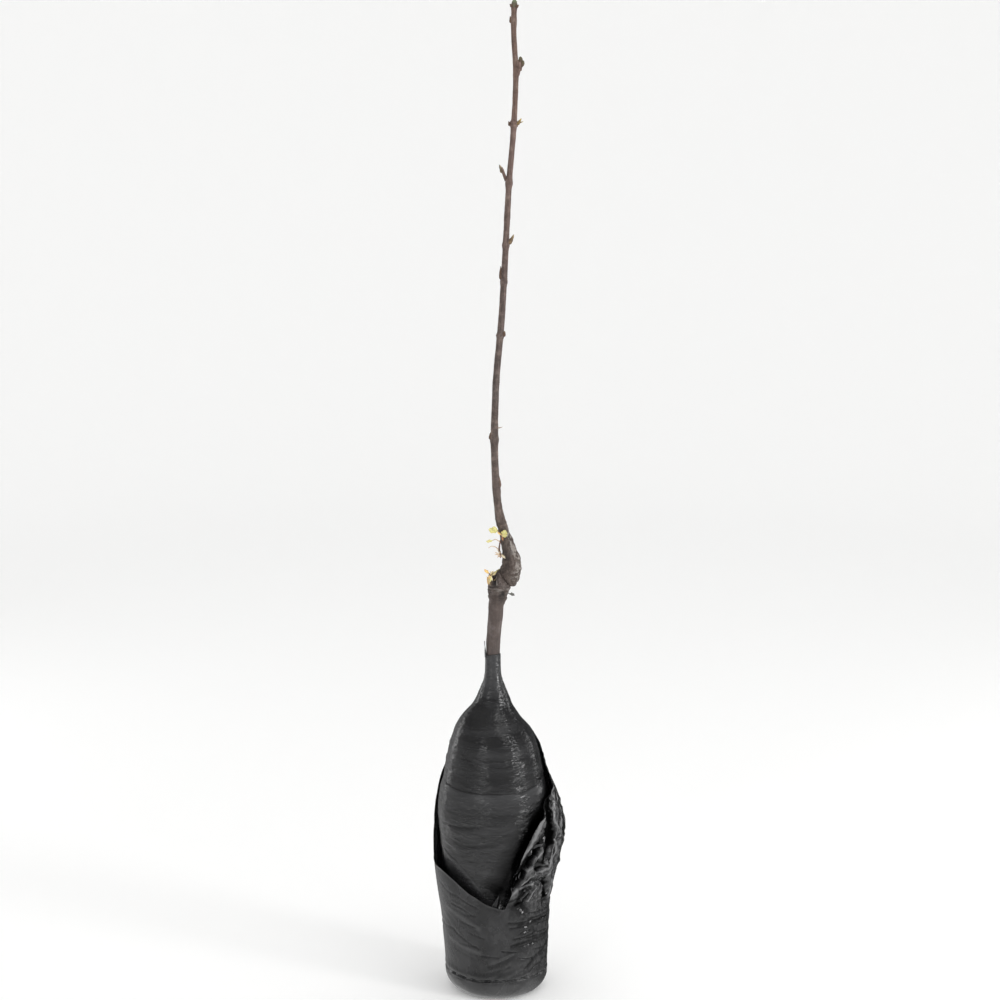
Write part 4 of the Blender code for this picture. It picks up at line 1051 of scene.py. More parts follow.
# name, height of foot, azimuth, length, thickness, angle off the stem, tip colour
buds = [
    ("bud_under_tip", 1.2265, -100, 0.0085, 0.0042, 22, "brown"),
    ("spur_top", 1.1640, 82, 0.0240, 0.0060, 11, "green"),
    ("bud_yellow", 1.1055, 78, 0.0095, 0.0040, 40, "yellow"),
    ("bud_yellow_side", 1.1040, -80, 0.0060, 0.0035, 35, "brown"),
    ("spur_left", 1.0380, -92, 0.0205, 0.0046, 33, "beige"),
    ("bud_right", 0.9610, 84, 0.0140, 0.0048, 34, "tan"),
    ("bud_back_high", 0.9930, 178, 0.0110, 0.0045, 28, "tan"),
    ("bud_left", 0.9170, -88, 0.0170, 0.0040, 12, "brown"),
    ("bud_ring", 0.8480, 70, 0.0070, 0.0046, 20, "brown"),
    ("bud_back_low", 0.7900, -168, 0.0095, 0.0045, 24, "tan"),
    ("bud_flush_left", 0.7180, -96, 0.0090, 0.0046, 12, "brown"),
    ("leaf_scar_stub", 0.7330, 62, 0.0080, 0.0014, 80, "pale"),
    ("bud_ridge", 0.6560, 86, 0.0220, 0.0046, 5, "brown"),
]


def columnOf(name, which):
    # a stem's distance to the right (1) or its radius (2), by height
    return [(row[0], row[which]) for row in stems[name]]


def scionCentre(along):
    # the scion's line to the right, bowed forward by (1 - cos) between knee and top
    climb = np.clip((along - stems["kneeTop"]) / (stems["treeTop"] - stems["kneeTop"]), 0, 1)
    bow = -stems["bow"] * (1 - np.cos(2 * np.pi * climb)) / 2
    return np.stack([through(columnOf("scion", 1), along), bow, along], -1)


def scionSize(along):
    # radius, plus rise exp(-(distance / spread)^2) at every bud and knot
    rise, spread = stems["swell"]
    size = through(columnOf("scion", 2), along)
    for level, rise, spread in [(bud[1], rise, spread) for bud in buds] + stems["knots"]:
        size = size + rise * np.exp(-((along - level) / spread) ** 2)
    return size


def rootstockCentre(along):
    # the stock's line to the right, without a bow
    return np.stack([through(columnOf("rootstock", 1), along), 0 * along, along], -1)


def rootstockSize(along):
    # the stock's radius by height, a smooth curve through its stations
    return through(columnOf("rootstock", 2), along)


def ringFrame(centre, along):
    # direction along a stem, to its right and to its front, each square to the others
    ahead = unit(centre(along + stems["step"]) - centre(along - stems["step"]))
    right = unit(np.stack([ahead[..., 2], 0 * along, -ahead[..., 0]], -1))
    return ahead, right, np.cross(right, ahead)


def onStem(centre, size, azimuth, along):
    # centre + size (right sin azimuth + front cos azimuth)
    _, right, front = ringFrame(centre, along)
    turn = np.radians(azimuth)[..., None]
    return centre(along) + size[..., None] * (np.sin(turn) * right + np.cos(turn) * front)


def alongToPlane(centre, sizeAt, azimuth, start, planes):
    # how far up each side line meets each of the planes, by stepping along it 40 times
    reach = []
    for point, normal in planes:
        along = np.full(azimuth.shape, start)
        normal = unit(np.array(normal))
        for _ in range(40):
            ahead = ringFrame(centre, along)[0]
            off = (onStem(centre, sizeAt(along), azimuth, along) - np.array(point)) @ normal
            along = along - 0.7 * off / np.maximum(ahead @ normal, 0.3)
        reach.append(along)
    return reach


def scionSpots(azimuth, along):
    # places on the scion's side before its relief
    return onStem(scionCentre, scionSize(along), azimuth, along)


def fibreSpots(azimuth, along, across, length):
    # places whose noise runs along a stem: so many cells across it, each of a length
    turn = np.radians(azimuth)
    return np.stack([np.sin(turn) * across, np.cos(turn) * across, along / length], -1)


def scionRelief(azimuth, along):
    # Long fibre ridges and soft lumps, stronger on the old knee, where plates of bark lift too
    # and split. Every bud sits over a few rings of scar, and two bulges lie under the lowest.
    spots = scionSpots(azimuth, along)
    old = 1 - smoothStep(0.585, 0.66, along)
    young, more = scionBark["fibres"]
    relief = (young + more * old) * roughNoise(fibreSpots(azimuth, along, 6, 0.016), 1.0, 201, 3)
    young, more, size = scionBark["lumps"]
    relief = relief + (young + more * old) * roughNoise(spots, size, 203, 2)
    depth, size = scionBark["plates"]
    relief = relief + depth * old * np.clip(roughNoise(spots, size, 207, 3), -0.5, 0.6)
    depth, size = scionBark["splits"]
    relief = relief - depth * old * smoothStep(0.86, 1.0, 1 - np.abs(roughNoise(spots, size, 211, 2)))
    depth, pitch, spread = scionBark["scars"]
    for bud in buds:
        off = (along - bud[1] + 0.001) / spread
        rings = np.cos((along - bud[1]) / pitch * np.pi) * np.exp(-off * off)
        relief = relief + depth * rings * smoothStep(0.605, 0.64, bud[1] + 0 * along)
    bulges = bump(0.663, 0.010, along) + 0.8 * bump(0.652, 0.006, along)
    return relief + scionBark["bulges"] * bulges * bump(75, 60, azimuth)


def rootstockRelief(azimuth, along):
    # Faint fibres and lumps; at the neck under the knee, collar rings and rough plates; and the
    # hollow beside the cut stub, pressed in where the photo shows its shadow.
    spots = onStem(rootstockCentre, rootstockSize(along), azimuth, along)
    relief = stockBark["fibres"] * roughNoise(fibreSpots(azimuth, along, 7, 0.020), 1.0, 221, 3)
    depth, size = stockBark["lumps"]
    relief = relief + depth * roughNoise(spots, size, 223, 2)
    neck = smoothStep(0.505, 0.520, along)
    wave = along + 0.0016 * noiseAt(spots, 0.007, 227)
    for level, spread, depth in stockBark["collars"]:
        relief = relief + depth * neck * np.exp(-((wave - level) / spread) ** 2)
    depth, size = stockBark["plates"]
    relief = relief + depth * neck * np.clip(roughNoise(spots, size, 229, 3), -0.6, 0.6)
    depth, size = stockBark["cracks"]
    relief = relief - depth * neck * smoothStep(0.84, 1.0, 1 - np.abs(roughNoise(spots, size, 231, 2)))
    return relief - stockBark["hollow"] * bump(-30, 34, azimuth) * bump(0.5415, 0.0085, along)


def lenticelField(azimuth, along, size, low, high, count, seed):
    # ovals at seeded places, each (1 - d^2) of its own half width and half height
    draw = np.random.default_rng(seed)
    relief = np.zeros(np.broadcast(azimuth, along).shape)
    rows = along[:, 0]
    for _ in range(count):
        level, side = draw.uniform(low, high), draw.uniform(-180, 180)
        half, tall, rise = draw.uniform(0.0007, 0.0016), draw.uniform(0.0004, 0.0007), draw.uniform(0.5, 1.0)
        near = np.nonzero(np.abs(rows - level) < tall)[0]
        if len(near):
            part = slice(near[0], near[-1] + 1)
            away = (np.mod(azimuth[part] - side + 180, 360) - 180) * np.pi / 180 * size[part]
            d = (away / half) ** 2 + ((along[part] - level) / tall) ** 2
            relief[part] = np.maximum(relief[part], rise * np.clip(1 - d, 0, 1))
    return relief


barkMarks = {   # painted on the pieces: colour, share
    "scuff": ((0.36, 0.33, 0.30), 0.8),
    # shade: painted shade in the hollow by the stub and on its sunken roof; on the collar also dark scabs and
    # blotches
    "shade": ((0.012, 0.010, 0.009), 0.9),
    "wood": ((0.52, 0.36, 0.17), 0.95),
    "moss": ((0.26, 0.26, 0.05), 0.9),
}
barks = {
    # the ground colour is a list of (height, colour) stops, and a single stop is a plain colour
    "rootstock": {"ground": [(0.34, (0.108, 0.086, 0.080)), (0.515, (0.082, 0.060, 0.052)),
                             (0.5157, (0.078, 0.057, 0.048))],
                  "groove": (0.045, 0.036, 0.033), "pale": (0.185, 0.155, 0.145),
                  "fibre": (380.0, 0.30), "blotch": 75.0, "fleck": 0.20, "depth": 0.0005},
    "knee": {"ground": [(0.0, (0.082, 0.060, 0.050))],
             "groove": (0.020, 0.014, 0.012), "pale": (0.21, 0.175, 0.150),
             "fibre": (260.0, 0.5), "blotch": 150.0, "fleck": 0.10, "depth": 0.0012},
    "leader": {"ground": [(0.60, (0.078, 0.058, 0.048)), (0.66, (0.112, 0.083, 0.071)),
                          (0.78, (0.090, 0.071, 0.065)), (1.12, (0.170, 0.106, 0.087)),
                          (1.122, (0.165, 0.100, 0.078))],
               "groove": (0.042, 0.028, 0.024), "pale": (0.27, 0.20, 0.165),
               "fibre": (620.0, 0.75), "blotch": 130.0, "fleck": 0.35, "depth": 0.0005},
}


def barkFinish(name):
    # weathered bark over the ground colour, and then each mark by its share
    look = barks[name]
    made, tree, shader = newFinish(name + " bark")
    (low, base), (high, _) = look["ground"][0], look["ground"][-1]
    base = rgb(*base)
    if high > low:
        level = addNode(tree, "ShaderNodeSeparateXYZ", {0: objectSpot(tree)}).outputs[2]
        stops = [((at - low) / (high - low), colour) for at, colour in look["ground"]]
        base = colourRamp(tree, ranged(tree, level, low, high), stops)
    scale, share = look["fibre"]
    skin = useGroup(tree, bark, {
        "Vector": objectSpot(tree), "Ground": base, "Groove": rgb(*look["groove"]), "Pale": rgb(*look["pale"]),
        "Fibre Scale": scale, "Fibre Share": share, "Blotch Scale": look["blotch"], "Fleck Share": look["fleck"]})
    colour = skin["Colour"]
    for label, (tint, share) in barkMarks.items():
        colour = mixed(tree, times(tree, attribute(tree, label), share), colour, rgb(*tint))
    dressed(tree, shader, colour, skin["Roughness"])
    raised(tree, shader, skin["Height"], look["depth"], 0.7)
    return made


def planeLevel(plane, x, y):
    # height of a plane, a point and a normal, over a place
    point, normal = plane
    return point[2] - (normal[0] * (x - point[0]) + normal[1] * (y - point[1])) / normal[2]


def buildRootstock(finish):
    # Rows run up to the lower of the two cuts, less a gap, a notch in the stub's rim and splinters.
    # Under the knee the side draws in.
    azimuth = ringAzimuths(stems["columns"]["rootstock"])
    planes = [stems["graft"], stems["snag"]]
    graftTop, snagTop = alongToPlane(rootstockCentre, rootstockSize, azimuth[0], 0.545, planes)
    notch = stockBark["notch"] * bump(-27, 24, azimuth)
    splinters = np.abs(noiseAt(around(azimuth, 0.014, 0 * azimuth), 0.0022, 235)) * bump(-80, 80, azimuth)
    top = np.minimum(graftTop, snagTop)[None] - plant["gap"] - notch - stockBark["splinters"] * splinters
    low = stems["rootstock"][0][0]
    along = low + (top - low) * evenly(0, 1, stems["rows"]["rootstock"])[:, None]
    azimuths = azimuth + 0 * along
    size = rootstockSize(along)
    dots = lenticelField(azimuths, along, size, 0.44, 0.51, stems["lenticels"]["rootstock"], 31)
    relief = rootstockRelief(azimuths, along) + stockBark["lenticels"] * dots
    tucked = smoothStep(-25, 5, azimuths) * (1 - smoothStep(150, 175, azimuths))
    relief = relief - stems["overlap"][2] * smoothStep(0.0055, 0.0, top - along) * tucked
    side = onStem(rootstockCentre, size + relief, azimuths, along)
    # the roof of the two cuts: at each spot the lower of the planes, roughened on the stub
    shares = np.array([0.97, 0.92, 0.84, 0.74, 0.62, 0.50, 0.38, 0.26, 0.14, 0.06])
    roof = capRows(side[-1], side[-1].mean(axis=0), shares)
    graftLevel, snagLevel = (planeLevel(plane, roof[..., 0], roof[..., 1]) for plane in planes)
    onSnag = smoothStep(0.0, 0.0012, graftLevel - snagLevel)
    pit = np.hypot(roof[..., 0] + 0.0030, (roof[..., 1] + 0.0075) * 0.8) / 0.0075
    torn = 0.0016 * roughNoise(roof, (0.0022, 0.0022, 0.02), 233, 2) - 0.0010 - 0.0050 * np.clip(1 - pit, 0, 1)
    blend = smoothStep(0.97, 0.80, shares)[:, None]
    level = np.minimum(graftLevel, snagLevel) - plant["gap"] + torn * onSnag
    roof[..., 2] = roof[..., 2] * (1 - blend) + level * blend
    # torn wood shows as a strip down the left of the stub and along its rim, mossy at the right
    # end; the hollow and the sunken front of the roof get painted shade, and scabs, dark blotches and
    # pale scuffs lie on the collar under the knee
    grain = noiseAt(side, (0.0014, 0.0014, 0.008), 237)
    strip = smoothStep(0.0105 + 0.004 * grain, 0.006, top - along) * bump(-76, 36, azimuths)
    rim = smoothStep(0.0024, 0.0008, top - along) * bump(-105, 55, azimuths)
    outer = smoothStep(0.74, 0.90, shares)[:, None] * (1 - bump(0, 60, azimuth))
    leftward = np.maximum(outer, smoothStep(-0.0065, -0.0085, roof[..., 0]))
    wood = np.concatenate([np.maximum(strip, rim), onSnag * leftward])
    behind = smoothStep(118, 140, np.abs(azimuth))
    moss = np.concatenate([rim * behind, onSnag * outer * behind])
    # painted shade in the hollow beside the stub
    hollow = bump(-25, 30, azimuths) * bump(0.5385, 0.011, along)
    darkBlotches = smoothStep(0.05, 0.45, noiseAt(side, (0.0040, 0.0040, 0.0018), 243)) * bump(0.5250, 0.0125, along)
    scab = bump(28, 32, azimuths) * bump(0.5195, 0.009, along)
    # painted shade on the sunken front of the stub's roof
    inHollow = bump(-0.0040, 0.0055, roof[..., 0]) * smoothStep(0.004, -0.004, roof[..., 1])
    shade = np.concatenate([np.clip(hollow + 0.6 * darkBlotches + 0.7 * scab, 0, 1), onSnag * inHollow * (1 - leftward)])
    blush = bump(0.5300, 0.0085, along) * smoothStep(0.05, 0.45, noiseAt(side, (0.0045, 0.0045, 0.0014), 241))
    scuff = np.concatenate([0.10 * dots + 0.50 * blush, 0 * onSnag])
    patch = {"rings": np.concatenate([side, roof]), "low": ends(side)[0], "high": ends(roof)[1],
             "paint": {"wood": wood, "moss": moss, "shade": shade, "scuff": scuff}}
    buildPiece("rootstockBark", [patch], [finish], "rootstock_stem")


def scionPiece(name, low, high, part, finish, node, lowCap, highCap):
    # side of the scion between two edges, each a height for every azimuth, and its end caps
    along = low + (high - low) * evenly(0, 1, stems["rows"][part])[:, None]
    azimuths = ringAzimuths(stems["columns"][part]) + 0 * along
    size = scionSize(along)
    dots = lenticelField(azimuths, along, size, low.min(), high.max(), stems["lenticels"]["scion"], 37)
    relief = scionRelief(azimuths, along) + scionBark["lenticels"] * dots
    if part == "knee":
        reach, _, taper = stems["overlap"]
        relief = relief - taper * smoothStep(0.55 * reach, 0.0, along - low)
        depth, grain = scionBark["kneeLumps"]
        lumps = roughNoise(scionSpots(azimuths, along), grain, 245, 2)
        relief = relief + depth * smoothStep(0.560, 0.545, along) * lumps
    side = onStem(scionCentre, size + relief, azimuths, along)
    flank = bump(62, 72, azimuths) * smoothStep(0.535, 0.548, along) * (1 - smoothStep(0.598, 0.612, along))
    flank = flank + 0.5 * bump(38, 30, azimuths) * bump(0.585, 0.018, along)
    flakes = smoothStep(-0.05, 0.35, roughNoise(side, (0.0022, 0.0022, 0.0034), 251, 3))
    bottom, top = ends(side)
    rings = np.concatenate([capRows(side[0], bottom, lowCap), side, capRows(side[-1], top, highCap)])
    scuff = np.zeros(rings.shape[:2])
    scuff[len(lowCap):len(lowCap) + len(side)] = np.clip(flank * flakes + 0.12 * dots, 0, 1)
    patch = {"rings": rings, "low": bottom, "high": top, "paint": {"scuff": scuff}}
    buildPiece(name, [patch], [finish], node)


def buildKnee(finish):
    # from the graft's plane, and some way into the stock, up to the leader
    azimuth = ringAzimuths(stems["columns"]["knee"])
    low = alongToPlane(scionCentre, scionSize, azimuth[0], 0.545, [stems["graft"]])[0]
    low = np.maximum(low - stems["overlap"][0], stems["overlap"][1])[None]
    scionPiece("graftKneeBark", low, np.full_like(low, stems["kneeTop"]), "knee", finish,
               "graft_knee", [0.3, 0.6, 0.85], [0.8, 0.4])


def buildLeader(finish):
    # from just over the knee up to the tip bud, with level edges
    edge = np.ones((1, stems["columns"]["leader"]))
    low, high = edge * (stems["kneeTop"] + 0.0001), edge * stems["leaderTop"]
    scionPiece("leaderBark", low, high, "leader", finish, "leader", [0.4, 0.8], [0.9, 0.6, 0.3])


# Buds and spurs

# thickness along a bud, as (share of the length, share of the thickness)
budOutline = [(0.0, 0.40), (0.08, 0.92), (0.22, 1.16), (0.40, 1.08), (0.64, 0.80), (0.86, 0.46), (0.96, 0.22),
              (1.0, 0.08)]
knobOutline = [(0.0, 0.55), (0.30, 0.90), (0.60, 1.05), (0.82, 0.86), (0.94, 0.55), (1.0, 0.15)]
spurOutline = [(0.0, 0.45), (0.25, 0.72), (0.50, 0.95), (0.75, 1.0), (0.92, 0.72), (1.0, 0.20)]
stalkOutline = [(0.0, 1.20), (0.20, 0.98), (0.50, 0.90), (0.74, 0.98), (0.92, 0.70), (1.0, 0.30)]
tipOutline = [(0.0, 0.84), (0.30, 0.96), (0.55, 1.02), (0.78, 0.96), (0.92, 0.74), (1.0, 0.44)]
plainBud = (0, 0, 0, (1, 0, 0, 0), 1, 1, 1, 5, 4, budOutline, 0)
# What a cluster is made of. A part starts at a share of the length along, a share of the thickness
# outward and metres back. It heads by shares of the bud's own heading, the stem's, outward and
# back, and curls by a share. Then its shares of the length and the thickness, its layers of
# scales, the scales in a layer, its outline and its finish, of own colour, green and rosy.
clusters = {
    # a knobbly spur that widens upwards and carries a cluster of buds
    "spur_top": [(-0.1875, 0, 0, (1, 0, 0, 0), 1, 0.98, 1.30, 9, 5, spurOutline, 2),
                 (0.52, 0.10, 0, (1, 0, 0.05, 0), 1, 0.44, 0.95, 7, 4, knobOutline, 0),
                 (0.42, 0.38, 0, (0.9, 0, 0.30, 0), 1, 0.38, 0.90, 6, 4, knobOutline, 0),
                 (0.36, 0, -0.0018, (1, 0, 0.15, -0.22), 1, 0.38, 0.75, 5, 4, budOutline, 2),
                 (0.24, 0.22, 0.0015, (1, 0, 0.35, 0.35), 1, 0.36, 0.70, 5, 4, budOutline, 2)],
    # a thin dark stalk that ends in a pale cup of scales with a green point
    "spur_left": [(0, 0, 0, (1, 0, 0, 0), 1, 0.86, 1, 8, 4, stalkOutline, 2),
                  (0.52, 0, 0, (0.9, 0.15, 0, 0), 1, 0.46, 0.95, 5, 4, budOutline, 0),
                  (0.72, 0, 0, (0.9, 0.4, 0, 0), 0, 0.34, 0.50, 5, 4, budOutline, 1),
                  (0.66, -0.1087, 0, (0.7, 0.9, 0, 0), 0, 0.26, 0.60, 5, 4, budOutline, 0)],
    "bud_yellow": [plainBud, (0.3, 0, 0, (0, 0.35, 1, 0), 0, 0.7, 0.42, 5, 4, budOutline, 0)],
}
tipBud = {"sunk": 0.0012, "thickness": 0.0074,
          # nubs round its foot: place, heading, length, thickness
          "nubs": [((0.0022, -0.0016, 0.0016), (0.75, -0.3, 0.5), 0.0044, 0.0040),
                   ((-0.0022, -0.0014, 0.0022), (-0.7, -0.3, 0.6), 0.0044, 0.0038),
                   ((0.0004, 0.0024, 0.0012), (0.1, 0.6, 0.7), 0.0044, 0.0036)]}
budColours = {   # foot, tip
    "brown": ((0.120, 0.070, 0.048), (0.200, 0.130, 0.080)),
    "tan": ((0.130, 0.085, 0.055), (0.330, 0.240, 0.120)),
    "green": ((0.120, 0.080, 0.055), (0.125, 0.118, 0.062)),
    "yellow": ((0.200, 0.130, 0.060), (0.600, 0.440, 0.100)),
    "beige": ((0.085, 0.058, 0.040), (0.620, 0.480, 0.300)),
    "pale": ((0.450, 0.360, 0.280), (0.620, 0.520, 0.420)),
    "fresh": ((0.120, 0.085, 0.062), (0.200, 0.250, 0.140)),
    "rosy": ((0.130, 0.080, 0.065), (0.300, 0.200, 0.165)),
}


def budFinish(name):
    # the colour goes from foot to tip, and a scale's edge is halfway between them
    foot, tip = budColours[name]
    made, tree, shader = newFinish("bud " + name)
    base = mixed(tree, ranged(tree, attribute(tree, "reach"), 0.55, 0.85), rgb(*foot), rgb(*tip))
    skin = useGroup(tree, bark, {
        "Vector": objectSpot(tree), "Ground": base, "Pale": rgb(*tip),
        "Groove": rgb(*(0.35 * part for part in foot)), "Fibre Scale": 1800.0, "Blotch Scale": 260.0,
        "Fleck Share": 0.0})
    middle = rgb(*((a + b) / 2 for a, b in zip(foot, tip)))
    colour = mixed(tree, times(tree, attribute(tree, "edge"), 0.55), skin["Colour"], middle)
    dressed(tree, shader, colour, skin["Roughness"])
    raised(tree, shader, skin["Height"], 0.0003, 0.7)
    return made


def scaleSteps(share, turn, count, abreast, sink):
    # Overlapping scales: layer k ends at sink + (1 - sink) k / (count + 0.6) + 0.16 (wave^1.3 - 0.5),
    # where the wave zigzags round the bud. The height is how many layers still lie over a spot,
    # and the edge is where one ends.
    layers, edge = 0.0, 0.0
    for k in range(1, count + 1):
        wave = np.abs(triangleWave(turn * abreast / (2 * np.pi) / 2 + 0.25 * k))
        end = sink + (1 - sink) * (k / (count + 0.6)) + 0.16 * (wave ** 1.3 - 0.5)
        layers = layers + smoothStep(0.014, -0.014, share - end)
        edge = np.maximum(edge, np.exp(-((share - end + 0.012) / 0.014) ** 2))
    return layers, edge


def budPatch(start, heading, curl, length, thickness, count=5, abreast=4, outline=budOutline, finish=0, sink=0.18):
    # A spindle along start + heading s + 0.12 curl s^2, its thickness from the outline, less a
    # share for every scale that has ended. The lowest rows are ringed by leaf scars.
    s, turn = evenly(0.0, 0.985, 44)[:, None], ringTurns(26)
    layers, edge = scaleSteps(s, turn, count, abreast, sink)
    size = thickness / 2 * through(outline, s) * (0.80 + 0.20 * layers / count)
    rings = 1 + 0.07 * np.cos(s * 2 * np.pi * 16) * smoothStep(sink + 0.05, sink - 0.05, s)
    start, heading, curl = np.array(start), unit(np.array(heading, float)), np.array(curl, float)
    side = unit(np.cross(heading, (0.3, 1.0, 0.2)))
    front = np.cross(side, heading)
    line = start + heading * length * s[..., None] + curl * length * 0.12 * s[..., None] ** 2
    spread = (size * rings)[..., None]
    spots = line + spread * (np.cos(turn)[..., None] * side + np.sin(turn)[..., None] * front)
    spots = spots + 0.04 * thickness * noiseAt(spots, thickness / 2, 301)[..., None] * unit(spots - line)
    return {"rings": spots, "low": start, "high": start + heading * length + curl * length * 0.12, "finish": finish,
            "paint": {"reach": s, "edge": edge}}


def spoken(node):
    # a node's name as the start of a piece's name
    return node.replace("_", " ").title().replace(" ", "")


def buildBuds(finishes):
    # a bud leans off the stem towards its azimuth and curls back towards the stem's direction
    backward = np.array([0.0, 1.0, 0.0])
    for name, foot, azimuth, length, thickness, lean, tint in buds:
        level = np.float64(foot)
        ahead = ringFrame(scionCentre, level)[0]
        turn, angle = math.radians(azimuth), math.radians(lean)
        outward = np.array([math.sin(turn), -math.cos(turn), 0.0])
        outward = unit(outward - ahead * (outward @ ahead))
        heading = ahead * math.cos(angle) + outward * math.sin(angle)
        curl = ahead * math.sin(angle) - outward * math.cos(angle)
        start = scionCentre(level) + outward * (scionSize(level) - thickness * 0.30)
        single = plainBud[:7] + (7 if length > 0.015 else 5,) + plainBud[8:]
        patches = []
        for along, out, back, ways, bent, longer, thicker, *scales in clusters.get(name, [single]):
            place = start + heading * length * along + outward * thickness * out + backward * back
            way = sum(share * line for share, line in zip(ways, (heading, ahead, outward, backward)))
            patches.append(budPatch(place, way, curl * bent, length * longer, thickness * thicker, *scales))
        chosen = [finishes[colour] for colour in (tint, "green", "rosy")]
        buildPiece(spoken(name) + "Scales", patches, chosen, name)
    base = scionCentre(np.float64(stems["leaderTop"])) - np.array([0, 0, tipBud["sunk"]])
    patches = [budPatch(base, (0.02, 0, 1), (0, 0, 0), stems["treeTop"] - base[2], tipBud["thickness"], 3,
                        outline=tipOutline, sink=0.05)]
    for place, heading, length, thickness in tipBud["nubs"]:
        patches.append(budPatch(base + place, heading, (0, 0, 0), length, thickness, finish=1))
    buildPiece("TipBudScales", patches, [finishes["fresh"], finishes["brown"]], "tip_bud")


# Withered leaves and their stalks

